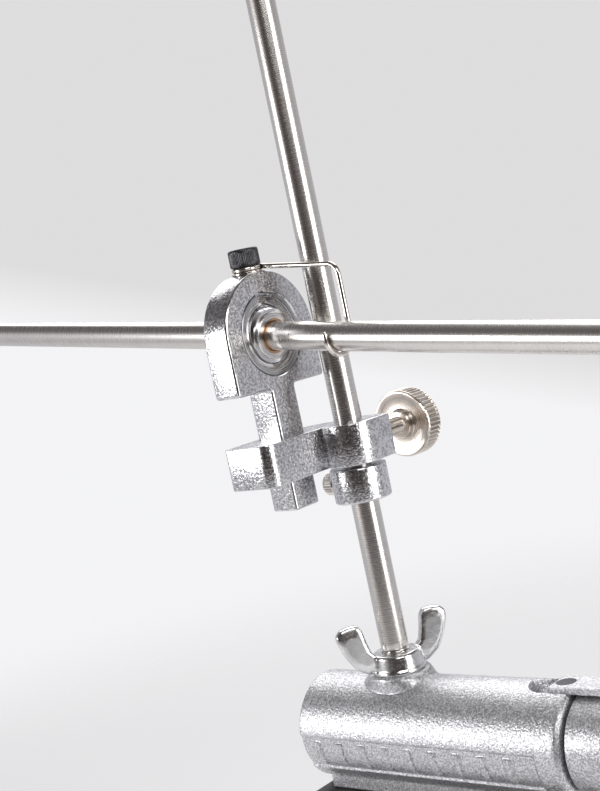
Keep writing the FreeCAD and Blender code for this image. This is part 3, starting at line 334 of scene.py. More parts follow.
THUMB_CENTRE = THUMB.translation
MATERIALS = {name: make(name, *rest) for make, name, *rest in (
    (cast_paint, "cast_grey", (0.40, 0.40, 0.412), (0.76, 0.76, 0.785), 0.40, 0.8),
    (black_coat, "black_iron", (0.012, 0.012, 0.013), 0.5, 0.0001),
    (black_coat, "rubber", (0.018, 0.018, 0.018), 0.72, 0.00005),
    (drawn_metal, "ground_steel", UP, (0.74, 0.71, 0.68), 0.24),
    (drawn_metal, "rod_steel", ROD_AXIS, (0.74, 0.71, 0.68), 0.24),
    (blasted_chrome, "satin_chrome", UP),
    (blasted_chrome, "eye_chrome", EAST),
    (plated_metal, "nickel", (0.80, 0.75, 0.70), 0.14),
    (plated_metal, "bright_nickel", (0.84, 0.84, 0.84), 0.2),
    (turned_metal, "knob_nickel", THUMB_CENTRE, NORTH, (0.74, 0.67, 0.60), 0.24),
    (turned_metal, "bearing_steel", EYE, EAST, (0.80, 0.80, 0.81), 0.14),
    (turned_metal, "bronze", AXIS, EAST, (0.62, 0.42, 0.26), 0.3),
    (lined_bush, "lined_bush", EYE, ROD_AXIS),
    (turned_metal, "clip_steel", EYE, EAST, (0.52, 0.52, 0.53), 0.25),
    (turned_metal, "brass", THUMB_CENTRE, NORTH, (0.72, 0.53, 0.25), 0.25),
    (black_coat, "black_oxide", (0.05, 0.05, 0.054), 0.34, 0.00006, 0.8),
    (drawn_metal, "jaw_steel", EAST, (0.60, 0.60, 0.61), 0.3, 0.000006),
    (black_coat, "black_anodised", (0.02, 0.02, 0.022), 0.36, 0.00002, 0.6),
    (turned_metal, "plain_aluminium", EYE, ROD_AXIS, (0.80, 0.81, 0.83), 0.28),
    (black_coat, "black_plastic", (0.016, 0.016, 0.018), 0.42, 0.00003),
    (oiled_wood, "beech", ROD_AXIS),
)}


# ---------------------------------------------------------------- mesh helpers

def mesh_object(name, points, faces, place):
    """A mesh object from points in millimetres in a local frame."""
    mesh = bpy.data.meshes.new(name)
    mesh.from_pydata([place @ (Vector(point) * MM) for point in points], [], faces)
    mesh.update()
    made = bpy.data.objects.new(name, mesh)
    bpy.context.scene.collection.objects.link(made)
    return made


def tidy_normals(piece):
    """Point all faces outward."""
    work = bmesh.new()
    work.from_mesh(piece.data)
    bmesh.ops.remove_doubles(work, verts=work.verts, dist=1e-7)
    bmesh.ops.recalc_face_normals(work, faces=work.faces)
    work.to_mesh(piece.data)
    work.free()


def bake(piece):
    """Turn a piece's modifiers into its mesh."""
    graph = bpy.context.evaluated_depsgraph_get()
    mesh = bpy.data.meshes.new_from_object(piece.evaluated_get(graph))
    piece.modifiers.clear()
    piece.data = mesh


def combine(piece, other, operation):
    """Cut another piece from this one, or add it."""
    step = piece.modifiers.new("combine", "BOOLEAN")
    step.operation = operation
    step.solver = "EXACT"
    step.object = other
    bake(piece)
    bpy.data.objects.remove(other)
    return piece


def bevel(piece, width, segments=3, angle=38):
    """Round the sharp edges of a piece."""
    step = piece.modifiers.new("bevel", "BEVEL")
    step.width = width * MM
    step.segments = segments
    step.limit_method = "ANGLE"
    step.angle_limit = math.radians(angle)
    step.use_clamp_overlap = True
    bake(piece)
    return piece


def join(name, parts):
    """Loose parts of one piece."""
    work = bmesh.new()
    for part in parts:
        work.from_mesh(part.data)
    for part in parts[1:]:
        bpy.data.objects.remove(part)
    work.to_mesh(parts[0].data)
    work.free()
    parts[0].name = name
    return parts[0]


def dress(piece, body, slot, stands_for=None, material=None):
    """Give a finished mesh its normals, finish, body and the CAD node it stands for."""
    tidy_normals(piece)
    piece.data.shade_smooth()
    piece.data.set_sharp_from_angle(angle=SHARP_ANGLE)
    piece.data.materials.clear()
    piece.data.materials.append(MATERIALS[material or slot])
    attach(piece, body)
    if stands_for:
        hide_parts(stands_for)
    return piece


def dress_spring(name, node, coil, place):
    """A coil between two bodies; coil is (low, high, radius, wire, sides, steps in a turn)."""
    low, high, radius, wire, sides, steps = coil
    turns = 4
    path = []
    for step in range(steps * turns + 1):
        turn = FULL * step / steps
        path.append((radius * math.cos(turn), radius * math.sin(turn),
                     low + (high - low) * step / (steps * turns)))
    piece = tube(name, path, wire, place, sides)
    tidy_normals(piece)
    piece.data.shade_smooth()
    piece.data.materials.append(MATERIALS["nickel"])
    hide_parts(node)
    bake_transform(piece)


def rounded(corners, radius, steps=4, closed=True):
    """An outline with its corners turned into arcs."""
    count = len(corners)
    made = []
    for index, corner in enumerate(corners):
        here = Vector(corner[:2])
        own = corner[2] if len(corner) > 2 else radius
        if own <= 0 or (not closed and index in (0, count - 1)):
            made.append(tuple(here))
            continue
        before = Vector(corners[index - 1][:2]) - here
        after = Vector(corners[(index + 1) % count][:2]) - here
        half = before.angle(after) / 2
        if half > math.radians(89) or half < math.radians(1):
            made.append(tuple(here))
            continue
        reach = min(own / math.tan(half), before.length * 0.49, after.length * 0.49)
        size = reach * math.tan(half)
        bisector = (before.normalized() + after.normalized()).normalized()
        centre = here + bisector * (size / math.sin(half))
        first = here + before.normalized() * reach - centre
        last = here + after.normalized() * reach - centre
        sweep = math.atan2(first.cross(last), first.dot(last))
        start = math.atan2(first.y, first.x)
        made += arc(size, start, sweep, steps, centre.x, centre.y)
    return made


def bands(rows, size):
    """The faces between rows of points, each row closed on itself."""
    return [(row * size + index, row * size + (index + 1) % size,
             (row + 1) * size + (index + 1) % size, (row + 1) * size + index)
            for row in range(rows - 1) for index in range(size)]


def turned(name, profile, place, segments=72, relief=None, ring=False):
    """A piece turned about its z axis from (radius, height) points, with an optional relief."""
    points, faces, rows = [], [], []
    for radius, height in profile:
        if radius < 1e-6:
            rows.append([len(points)])
            points.append((0, 0, height))
            continue
        rows.append(list(range(len(points), len(points) + segments)))
        for index in range(segments):
            angle = FULL * index / segments
            reach = relief(angle, radius, height) if relief else radius
            points.append((reach * math.cos(angle), reach * math.sin(angle), height))
    pairs = list(zip(rows, rows[1:])) + ([(rows[-1], rows[0])] if ring else [])
    for low, high in pairs:
        for index in range(segments):
            after = (index + 1) % segments
            if len(low) == 1 and len(high) == 1:
                continue
            if len(low) == 1:
                faces.append((low[0], high[after], high[index]))
            elif len(high) == 1:
                faces.append((low[index], low[after], high[0]))
            else:
                faces.append((low[index], low[after], high[after], high[index]))
    return mesh_object(name, points, faces, place)


def drill(piece, radius, low, high, place, segments=64):
    """Cut a round hole between two heights."""
    cutter = turned("drill", [(0, low), (radius, low), (radius, high), (0, high)], place, segments)
    return combine(piece, cutter, "DIFFERENCE")


def prism(name, outline, low, high, place):
    """An outline in local x and y pushed out between two heights."""
    count = len(outline)
    points = [(x, y, low) for x, y in outline] + [(x, y, high) for x, y in outline]
    faces = [tuple(reversed(range(count))), tuple(range(count, 2 * count))]
    faces += [(index, (index + 1) % count, count + (index + 1) % count, count + index)
              for index in range(count)]
    made = mesh_object(name, points, faces, place)
    tidy_normals(made)
    return made


def arc(radius, start, sweep, steps, x=0.0, y=0.0):
    """Points on an arc from one angle through another."""
    turns = [start + sweep * step / steps for step in range(steps + 1)]
    return [(x + radius * math.cos(turn), y + radius * math.sin(turn)) for turn in turns]


def box_outline(low_x, high_x, low_y, high_y):
    """The outline of a rectangle."""
    return [(low_x, low_y), (high_x, low_y), (high_x, high_y), (low_x, high_y)]


def tube(name, path, radius, place, sides=16, tip=0.5):
    """A wire along a path, with rounded ends."""
    points = [Vector(point) for point in path]
    tangents = [(points[min(index + 1, len(points) - 1)] - points[max(index - 1, 0)]).normalized()
                for index in range(len(points))]
    normal = tangents[0].orthogonal().normalized()

    def cap(end, sign, steps):
        """The rows of a rounded end."""
        for step in steps:
            angle = math.pi / 2 * step / 4
            yield (points[end] + tangents[end] * (sign * radius * tip * math.sin(angle)),
                   tangents[end], max(radius * math.cos(angle), radius * 0.05))

    rows = [*cap(0, -1, range(4, 0, -1)), *((*pair, radius) for pair in zip(points, tangents)),
            *cap(-1, 1, range(1, 5))]
    made = []
    for centre, tangent, reach in rows:
        normal = (normal - tangent * normal.dot(tangent)).normalized()
        side = tangent.cross(normal)
        for index in range(sides):
            turn = FULL * index / sides
            made.append(centre + (normal * math.cos(turn) + side * math.sin(turn)) * reach)
    faces = bands(len(rows), sides)
    faces.append(tuple(reversed(range(sides))))
    faces.append(tuple(range(len(made) - sides, len(made))))
    return mesh_object(name, made, faces, place)


def stations(radius, low, high, step):
    """Evenly spaced profile points at one radius."""
    count = max(2, round(abs(high - low) / step))
    return [(radius, low + (high - low) * index / count) for index in range(count + 1)]


def thread(pitch, depth, low, high, flat=0.12):
    """A relief that cuts a helical thread between two heights."""
    def relief(angle, radius, height):
        if height < low - 1e-6 or height > high + 1e-6:
            return radius
        share = ((height - pitch * angle / FULL) / pitch) % 1.0
        wave = abs(2 * share - 1)
        wave = min(1.0, max(0.0, (wave - flat) / (1 - 2 * flat)))
        fade = min(1.0, (height - low) / pitch, (high - height) / pitch)
        return radius - depth * wave * max(0.0, fade)
    return relief


def knurl(count, depth, edge, low, high, length=0.6):
    """A relief of straight knurls on the outermost wall."""
    def relief(angle, radius, height):
        if radius < edge - 0.05 or height < low or height > high:
            return radius
        wave = 0.5 - 0.5 * math.cos(count * angle)
        fade = min(1.0, (height - low) / length, (high - height) / length)
        return radius - depth * (1 - wave ** 0.7) * fade
    return relief


def threaded_and_knurled(pitch, edge, split):
    """A screw's relief: its thread inside a radius and its knurled head outside."""
    def relief(angle, radius, height):
        return (edge if radius > split else pitch)(angle, radius, height)
    return relief


def smooth_step(edge_low, edge_high, amount):
    """0 below the first edge, 1 above the second, smooth between."""
    share = min(1.0, max(0.0, (amount - edge_low) / (edge_high - edge_low)))
    return share * share * (3 - 2 * share)


# ---------------------------------------------------------------- barrel and clamp

BARREL_RADIUS, BARREL_FRONT, BARREL_REAR, POST_SEAT = 15.4, 58.0, -30.0, 17.4


def barrel_radius_at(along, turn):
    """The barrel's outer radius at a place along it, turn counted from the top towards -Y."""
    body = BARREL_RADIUS
    for inward, edge in ((BARREL_FRONT - along, 1.6), (along - BARREL_REAR, 0.9)):
        if inward < edge:
            body -= edge - math.sqrt(max(0.0, edge ** 2 - (edge - inward) ** 2))
    side = math.degrees(turn)
    inside = (smooth_step(84.0, 87.0, side) * smooth_step(126.0, 123.5, side)
              * smooth_step(51.0, 50.0, along))
    first, pitch, width, count = -25.0, 8.2, 2.4, 9
    number = round((along - first - width / 2) / pitch)
    rib = 0.0
    if 0 <= number < count:
        offset = abs(along - first - width / 2 - number * pitch)
        rib = smooth_step(width / 2 + 0.15, width / 2 - 0.35, offset)
        rib *= smooth_step(90.5, 92.0, side) * smooth_step(120.5, 119.0, side)
    body -= 0.6 * inside * (1 - rib)
    rise, across = math.cos(turn), math.sin(turn)
    if rise > 0.3:
        flat = POST_SEAT / rise
        apart = math.hypot(along, flat * across)
        swell = min(flat, BARREL_RADIUS + 4.6) - body
        body += swell * smooth_step(11.6, 8.2, apart) * (flat > body)
        slot_end, slot_half = 49.0, 4.8
        wall, past = abs(across) * body, along - slot_end
        edge = wall - slot_half if past > 0 else math.hypot(past, wall) - slot_half
        if edge < 0.4:
            body += (min(body, 10.5 / rise) - body) * smooth_step(0.35, -0.25, edge)
    return body


def make_barrel():
    """The painted barrel: one outer skin over the bore, with panel, ribs, boss and slot."""
    segments, bore = 400, 9.0
    rows = [-30.0 + 0.9 * (index / 6) ** 2 for index in range(6)]
    rows += [-29.1 + 0.32 * index for index in range(267)]
    rows += [56.6, 57.0, 57.3, 57.6, 57.8, 57.95, BARREL_FRONT]
    rows = sorted(row for row in set(rows) if row <= BARREL_FRONT)
    profile = [(bore, BARREL_FRONT)] + [(BARREL_RADIUS, row) for row in reversed(rows)]
    profile.append((bore, BARREL_REAR))

    def relief(angle, radius, height):
        if radius < 10:
            return radius
        turn = angle if angle <= math.pi else angle - FULL
        return barrel_radius_at(height, turn)

    skin = turned("barrel_skin", profile, BARREL, segments, relief, ring=True)
    return dress(skin, "base", "cast_grey", "barrel_casting")


def make_foot():
    """The foot under the barrel, blended to it with a hollow on each side."""
    half, fillet, base = 10.6, 2.6, -16.0
    centre_y = half + fillet
    centre_z = -math.sqrt((BARREL_RADIUS + fillet) ** 2 - centre_y ** 2)
    last = math.atan2(-centre_z, -centre_y)
    right = [(half - 0.5, base), (half, base + 0.5)]
    right += arc(fillet, math.pi, last - math.pi, 8, centre_y, centre_z)
    right.append((8.0, -9.4))
    outline = right + [(-y, z) for y, z in reversed(right)]
    foot = prism("barrel_foot", outline, -25, 46, EYE_PLATE)
    bevel(foot, 0.8, 3, 60)
    return dress(foot, "base", "cast_grey")


def make_clamp():
    """The black clamp frame with a hollowed spine and a bored screw boss, and its pad."""
    arm = prism("clamp_arm", rounded(box_outline(-30, 52, -18, 18), 4, 8), -24, -16, UPRIGHT)
    bevel(arm, 1.2)
    profile = rounded([(38, -20, 0), (38, -92, 7), (-20, -92, 2), (-20, -104, 2), (52, -104, 9),
                       (52, -20, 0)], 2, 8)
    spine = prism("clamp_spine", [(x, z) for x, z in profile], -13, 13, SIDE)
    web = [(42, -32), (42, -97), (12, -97), (12, -99.5), (48, -99.5), (48, -32)]
    for low, high in ((-14, -8.5), (8.5, 14)):
        combine(spine, prism("hollow", rounded(web, 1.6, 5), low, high, SIDE), "DIFFERENCE")
    boss = turned("clamp_boss", rounded([(0, -107, 0), (12, -107), (12, -90), (0, -90, 0)], 1, 4),
                  CLAMP, 64)
    combine(spine, boss, "UNION")
    drill(spine, 5.95, -110, -85, CLAMP)
    bevel(spine, 0.9, 3, 45)
    frame_piece = join("clamp_frame_casting", [arm, spine])
    dress(frame_piece, "base", "black_iron", "clamp_frame")
    pad = prism("table_pad_rubber", rounded(box_outline(-28, 30, -15, 15), 3, 6), -27, -24, UPRIGHT)
    for index in range(9):
        start = -24 + 6.2 * index
        groove = prism("groove", box_outline(start, start + 1.4, -13, 13), -28, -26.2, UPRIGHT)
        combine(pad, groove, "DIFFERENCE")
    bevel(pad, 0.35, 2)
    dress(pad, "base", "rubber", "table_pad")


def make_clamp_screw():
    """Swivel foot with ringed rubber, trapezoidal screw, tommy bar and knobs."""
    top, rubber, bar = -67.5, -70.0, -160.0
    foot = rounded([(4.05, rubber - 10, 0), (9, rubber - 10), (9, rubber - 5.5), (16, rubber - 4),
                    (16, rubber, 0.4), (0, rubber, 0), (0, rubber - 3.9, 0),
                    (4.05, rubber - 3.9, 0)], 0.8, 4)
    dress(turned("swivel_foot_turned", foot, CLAMP, 96, ring=True), "clamp_foot", "nickel",
          "swivel_foot")
    rings = [(0, rubber), (15.5, rubber), (15.5, top - 0.8), (14.9, top)]
    for radius in (13, 10.5, 8, 5.5):
        rings += [(radius + 0.5, top), (radius + 0.35, top - 0.7), (radius - 0.35, top - 0.7),
                  (radius - 0.5, top)]
    dress(turned("foot_rubber_ringed", rings + [(0, top)], CLAMP, 96), "clamp_foot", "rubber",
          "foot_rubber")
    low, high = bar + 10.5, rubber - 10.3
    profile = [(0, bar - 10), (6.6, bar - 10), (7.2, bar - 9.7), (8.8, bar - 8.3), (9, bar - 7.8),
               (9, bar + 7.8), (8.7, bar + 8.3), (6.4, bar + 9.8), (5.9, bar + 10.1)]
    profile += stations(5.9, low, high, 0.25)
    profile += [(4, high + 0.15), (4, rubber - 4.6), (3.5, rubber - 4.05), (0, rubber - 4.05)]
    screw = turned("clamp_screw_threaded", profile, CLAMP, 64, thread(3.0, 1.1, low, high, 0.22))
    cross_place = local_frame(CLAMP.translation + UP * (bar * MM), NORTH, UP)
    drill(screw, 3.55, -12, 12, cross_place, 48)
    dress(screw, "clamp_screw", "jaw_steel", "clamp_screw")
    rod = rounded([(0, -45, 0), (3.5, -45), (3.5, 45), (0, 45, 0)], 0.5, 3)
    dress(turned("tommy_bar_turned", rod, cross_place, 48), "clamp_screw", "ground_steel",
          "tommy_bar")
    knobs = []
    for side in (1, -1):
        knob = rounded([(3.5, 39 * side, 0), (5.5, 39 * side, 1), (5.5, 46 * side, 1.6),
                        (4, 48 * side, 1.2), (0, 48 * side, 0), (0, 45 * side, 0),
                        (3.5, 45 * side, 0)], 1, 5)
        knobs.append(turned(f"knob_{side}", knob, cross_place, 48, ring=True))
    dress(join("bar_knobs_moulded", knobs), "clamp_screw", "black_plastic", "bar_knobs")


# ---------------------------------------------------------------- post and wing nut

def make_post():
    """The ground post with its metric thread showing above the wing nut."""
    profile = [(0, 5.2), (3.1, 5.2), (3.9, 6.2)] + stations(3.95, 6.4, 24.4, 0.156)
    profile += [(4.0, 24.6)] + stations(4.0, 26, 243.6, 8) + [(3.7, 244.6), (3.2, 245), (0, 245)]
    post = turned("post_threaded", profile, UPRIGHT, 64, thread(1.25, 0.55, 6.4, 24.4, 0.08))
    dress(post, "base", "ground_steel", "post")


def make_wing_nut():
    """A cast and polished wing nut: a coned hub with two leaning, pillowed wings."""
    lean = Matrix.Rotation(math.radians(54), 4, "Z")
    place = Matrix.Translation(Vector((0, 0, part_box("wing_nut")[0].z))) @ lean
    hub = turned("wing_nut_cast", [(0, 0.02), (7.7, 0.02), (7.7, 0.8), (7.3, 1.5), (6.9, 5.0),
                                   (6.4, 5.6), (0, 5.6)], place, 64)
    outer = [(4.6, 0.4), (8.8, 0.6), (12.4, 3.0), (14.9, 7.2), (16.4, 11.6), (16.5, 13.6),
             (15.0, 15.1), (12.6, 15.6), (9.9, 15.5), (8.7, 13.8), (8.1, 10.4), (7.2, 6.8),
             (5.0, 4.6)]
    for side in (1, -1):
        outline = rounded([(x * side, y) for x, y in outer], 1.6, 4)
        middle = Vector((11.2 * side, 8.4))
        points = []
        count = len(outline)
        layers = [(0.6, -1.75), (0.82, -1.6), (0.95, -1.3), (1.0, -0.7), (1.0, 0.7), (0.95, 1.3),
                  (0.82, 1.6), (0.6, 1.75)]
        for share, depth in layers:
            for x, y in outline:
                at = middle + (Vector((x, y)) - middle) * share
                points.append((at.x, depth, at.y))
        faces = bands(len(layers), count)
        faces.append(tuple(range(count)))
        faces.append(tuple(reversed(range(len(points) - count, len(points)))))
        wing = mesh_object("wing", points, faces, place)
        tidy_normals(wing)
        combine(hub, wing, "UNION")
    remesh = hub.modifiers.new("remesh", "REMESH")
    remesh.mode = "VOXEL"
    remesh.voxel_size = 0.22 * MM
    soften = hub.modifiers.new("soften", "SMOOTH")
    soften.factor = 0.5
    soften.iterations = 5
    bake(hub)
    drill(hub, 4.1, -1, 9, place)
    dress(hub, "wing_nut", "nickel", "wing_nut", "bright_nickel")


# ---------------------------------------------------------------- collar, bracket, thumb screw

def make_collar():
    """The stop collar with broken edges, and its knurled set screw."""
    collar = rounded([(RUNNING_BORE, 67.5), (8.1, 67.5), (8.1, 77.4), (RUNNING_BORE, 77.4)], 0.6, 4)
    collar = turned("stop_collar_turned", collar, UPRIGHT, 128, ring=True)
    drill(collar, 2.05, 0, 12, RING_SCREW, 40)
    dress(collar, "collar", "satin_chrome", "stop_collar")
    profile = [(0, 4.1), (1.4, 4.1), (1.9, 4.6)] + stations(1.95, 4.7, 8.1, 0.09)
    profile += [(2.2, 8.2), (3.0, 8.2), (3.3, 8.5)] + stations(3.3, 8.6, 11.4, 0.4)
    profile += [(3.0, 11.8), (0, 11.8)]
    pitch, head = thread(0.7, 0.3, 4.7, 8.1), knurl(24, 0.25, 3.2, 8.4, 11.5, 0.3)
    screw = turned("collar_screw_knurled", profile, RING_SCREW, 96,
                   threaded_and_knurled(pitch, head, 2.5))
    dress(screw, "collar_screw", "nickel", "collar_screw")


def make_bracket():
    """The cast bracket: round boss, square screw end and stem arm, with polished rims."""
    low, high = 78.2, 89.9
    boss, arm_front = 8.2, -4.4
    meet = math.atan2(-math.sqrt(boss ** 2 - arm_front ** 2), arm_front)
    sides = rounded([(boss, 0, 0), (boss, 8.4, 0.5), (-boss, 8.4, 0.5), (-boss, 3.6, 1.5),
                     (-12, 2, 2.5), (-20.5, -5, 2.5), (-20.5, -30.2, 1.2),
                     (arm_front, -30.2, 3.6), (boss * math.cos(meet), boss * math.sin(meet), 0)],
                    1, 8, closed=False)
    back = arc(boss, meet, -meet, 40)[1:-1]
    body = prism("bracket_cast", sides + back, low, high, UPRIGHT)
    bore = arc(RUNNING_BORE, 0, FULL, 72)[:-1]
    combine(body, prism("bore", bore, low - 1, high + 1, UPRIGHT), "DIFFERENCE")
    bevel(body, 0.55, 3, 50)
    stem_low, stem_high = EYE_X - 4.58, EYE_X + 4.58
    stem = box_outline(stem_low, stem_high, EYE_Y - 4.88, EYE_Y + 4.88)
    combine(body, prism("stem", stem, low - 1, high + 1, UPRIGHT), "DIFFERENCE")
    drill(body, 2.55, 3, 10, THUMB, 48)
    dress(body, "bracket", "satin_chrome", "bracket")
    profile = rounded([(0, 0.08, 0), (2, 0.08, 0), (2, 2.84, 0), (3.5, 2.84, 0.3), (3.5, 6.3, 0.6),
                       (1.9, 6.4, 0.1), (1.9, 4.2, 0), (0, 4.2, 0)], 0.2, 3)
    screw = turned("stem_lock_screw_knurled", profile, STEM_SCREW, 96,
                   knurl(28, 0.18, 3.4, 3.1, 6.0, 0.3))
    dress(screw, "bracket", "black_oxide", "stem_lock_screw")


def make_thumb_screw():
    """The knurled thumb knob with its collar, hollowed face and fine thread."""
    face, end = 23.2, 29.7
    tip = rounded([(0, 4.02, 0), (1.8, 4.02), (2.2, 4.6), (2.2, 6), (0, 6, 0)], 0.3, 3)
    dress(turned("thumb_tip_turned", tip, THUMB, 48), "thumb_tip", "brass", "thumb_screw_tip")
    profile = [(0, 6.02), (2.0, 6.02)] + stations(2.5, 6.4, face - 1.5, 0.1)
    profile += [(2.9, face - 1.4), (3.9, face - 1.4), (4.2, face - 1.1), (4.25, face + 0.15),
                (4.6, face + 0.45), (6.0, face + 0.5), (8.0, face + 0.3), (9.2, face + 0.02),
                (9.5, face + 0.05), (9.75, face + 0.3)]
    profile += stations(10.0, face + 0.7, end - 0.7, 0.35)
    profile += [(9.7, end - 0.25), (9.4, end), (6.5, end), (6.1, end - 0.3), (3.2, end - 0.35),
                (0, end - 0.35)]
    pitch = thread(0.8, 0.42, 6.4, face - 1.5, 0.08)
    edge = knurl(48, 0.5, 9.9, face + 0.6, end - 0.6, 0.45)
    screw = turned("thumb_screw_knurled", profile, THUMB, 576, threaded_and_knurled(pitch, edge, 5))
    dress(screw, "thumb_screw", "nickel", "thumb_screw", "knob_nickel")


# ---------------------------------------------------------------- eye, bearing and hook

EYE_RADIUS, SEAT_DEPTH, SCREW_SEAT = 17.8, 0.4, 17.4


def make_eye():
    """The arched eye casting with its stem, bearing seat and screw flat."""
    back, front, base, half = EYE_X - 4.5, EYE_X + 4.5, 103.8, 4.8
    left, right, foot = EYE_Y - EYE_RADIUS, EYE_Y + EYE_RADIUS, 69.3
    arch = arc(EYE_RADIUS, 0, math.pi, 48, EYE_Y, EYE_Z)
    lower = rounded([(left, EYE_Z, 0), (left, base, 1.0), (EYE_Y - half, base, 0.9),
                     (EYE_Y - half, foot, 0.6), (EYE_Y + half, foot, 0.6),
                     (EYE_Y + half, base, 0.9), (right, base, 1.0), (right, EYE_Z, 0)], 1, 5)
    body = prism("eye_cast", arch + lower[1:-1], back, front, EYE_PLATE)
    bevel(body, 0.75, 4, 50)
    place = local_frame(EYE, EAST, NORTH)
    for reach, start in ((9.8, -6), (11.0, -3.5), (11.5, 3.5)):
        drill(body, reach, start, 6, place, 128)
    rim = turned("rim", [(0, 3.9), (11.4, 3.9), (12.5, 5.0), (0, 5.0)], place, 128)
    combine(body, rim, "DIFFERENCE")
    top = local_frame(EYE + UP * (SCREW_SEAT * MM), UP, EAST)
    drill(body, 4.45, 0, 3, top)
    dress(body, "eye", "satin_chrome", "eye_casting", "eye_chrome")


def make_bearing():
    """The race with a turned face, the open retaining ring, the ball and the rod's bush."""
    place = local_frame(EYE, EAST, NORTH)
    outer, sphere, half = 11.0, 9.05, 3.5
    mouth = math.sqrt(sphere ** 2 - half ** 2)
    spread = math.asin(half / sphere)
    seat = arc(sphere, -spread, 2 * spread, 16)
    profile = seat + [(mouth + 0.25, half), (mouth + 0.5, half - 0.15), (9.5, half - 0.15),
                      (9.7, half), (outer - 0.35, half), (outer, half - 0.35), (outer, 0.3),
                      (outer - 0.3, 0), (outer, -0.3), (outer, -half + 0.35), (outer - 0.35, -half)]
    race = turned("bearing_race_turned", profile, place, 160, ring=True)
    dress(race, "eye", "bearing_steel", "bearing_race")
    sweep, count = math.radians(330), 120
    section = rounded([(9.9, 3.55), (11.45, 3.55), (11.45, 4.4), (9.9, 4.4)], 0.18, 3)
    points = []
    for step in range(count + 1):
        turn = -math.pi / 2 + sweep * (step / count - 0.5)
        swell = 1.0 if 3 < step < count - 3 else 0.0
        for radius, height in section:
            reach = radius + (0 if swell or radius > 10.6 else -0.5)
            points.append((reach * math.cos(turn), reach * math.sin(turn), height))
    size = len(section)
    faces = bands(count + 1, size)
    faces += [tuple(reversed(range(size))), tuple(range(count * size, (count + 1) * size))]
    dress(mesh_object("race_clip_ring", points, faces, place), "eye", "bearing_steel",
          "race_clip", "clip_steel")
    ball, bore, reach = 9.0, 6.05, 5.0
    limit = math.asin(reach / ball)
    outline = arc(ball, -limit, 2 * limit, 32)
    outline += [(7.1, reach), (6.35, reach), (bore, reach - 0.3), (bore, -reach + 0.3),
                (6.35, -reach), (7.1, -reach)]
    dress(turned("bearing_ball_turned", outline, ROD, 160, ring=True), "ball", "bearing_steel",
          "bearing_ball")
    lip, edge = 6.5, 5.05
    bush = rounded([(RUNNING_BORE, -edge - 0.75), (lip, -edge - 0.75), (lip, -edge, 0),
                    (6.0, -edge, 0), (6.0, edge, 0), (lip, edge, 0), (lip, edge + 0.75),
                    (RUNNING_BORE, edge + 0.75)], 0.3, 4)
    dress(turned("rod_bush_turned", bush, ROD, 128, ring=True), "bush", "bronze", "rod_bush",
          "lined_bush")


def make_cap_screw():
    """The socket cap screw on top of the eye, with its washer."""
    place = local_frame(EYE + UP * (SCREW_SEAT * MM), UP, EAST)
    washer = rounded([(2.6, 0.02), (4.3, 0.02), (4.3, 0.6), (2.6, 0.6)], 0.15, 3)
    washer = turned("hook_washer_turned", washer, place, 72, ring=True)
    dress(washer, "eye", "nickel", "hook_washer")
    seat = 0.65 + 1.5
    profile = [(0, -5), (2, -5)] + stations(2.45, -4.4, seat - 0.1, 0.12)
    profile += [(2.7, seat), (4.0, seat), (4.2, seat + 0.2)]
    profile += stations(4.25, seat + 0.3, seat + 4.3, 0.4)
    profile += [(4.15, seat + 4.65), (3.9, seat + 4.9), (3.5, seat + 5.0), (0, seat + 5.0)]
    pitch = thread(0.8, 0.4, -4.4, seat - 0.1)
    edge = knurl(54, 0.09, 4.2, seat + 0.3, seat + 4.3, 0.3)
    screw = turned("hook_screw_socket", profile, place, 324, threaded_and_knurled(pitch, edge, 3))
    hexagon = arc(2.31, 0, FULL, 6)[:-1]
    combine(screw, prism("socket", hexagon, seat + 2.4, seat + 6, place), "DIFFERENCE")
    dress(screw, "eye", "black_oxide", "hook_screw")


def make_hook():
    """The bent wire that the rod rests in: loop, bar, leg and rest."""
    loop, reach, wire, bend = 3.4, 29.3, 0.75, 3.6
    heading = math.atan2(ROD_AXIS.y, ROD_AXIS.x)
    slope = -ROD_AXIS.z / math.hypot(ROD_AXIS.x, ROD_AXIS.y)
    place = local_frame(EYE, UP, Vector((math.cos(heading), math.sin(heading), 0)))
    height, side = EYE_RADIUS - SEAT_DEPTH + 0.625 + wire, ROD_RADIUS + wire + 0.15
    leg_top, rest = height - (reach - bend) * slope - bend, -reach * slope
    path = [(x, y, height) for x, y in arc(loop, math.radians(385), math.radians(-295), 48)]
    start, stop = Vector((2.8, loop, height)), Vector((reach - bend, side, leg_top + bend))
    path.append((1.4, loop, height))
    path += [tuple(start.lerp(stop, step / 12)) for step in range(12)]
    quarter = math.pi / 2
    path += [(x, side, z) for x, z in arc(bend, quarter, -quarter, 12, reach - bend, leg_top)]
    path += [(reach, side, leg_top + (rest - leg_top) * step / 12) for step in range(1, 12)]
    path += [(reach, y, z) for y, z in arc(side, 0, -math.pi, 24, 0, rest)]
    path.append((reach, -side, rest + 1.3))
    dress(tube("rod_hook_wire", path, wire, place, 20, 0.8), "rod_hook", "nickel", "rod_hook")


# ---------------------------------------------------------------- head and jaws

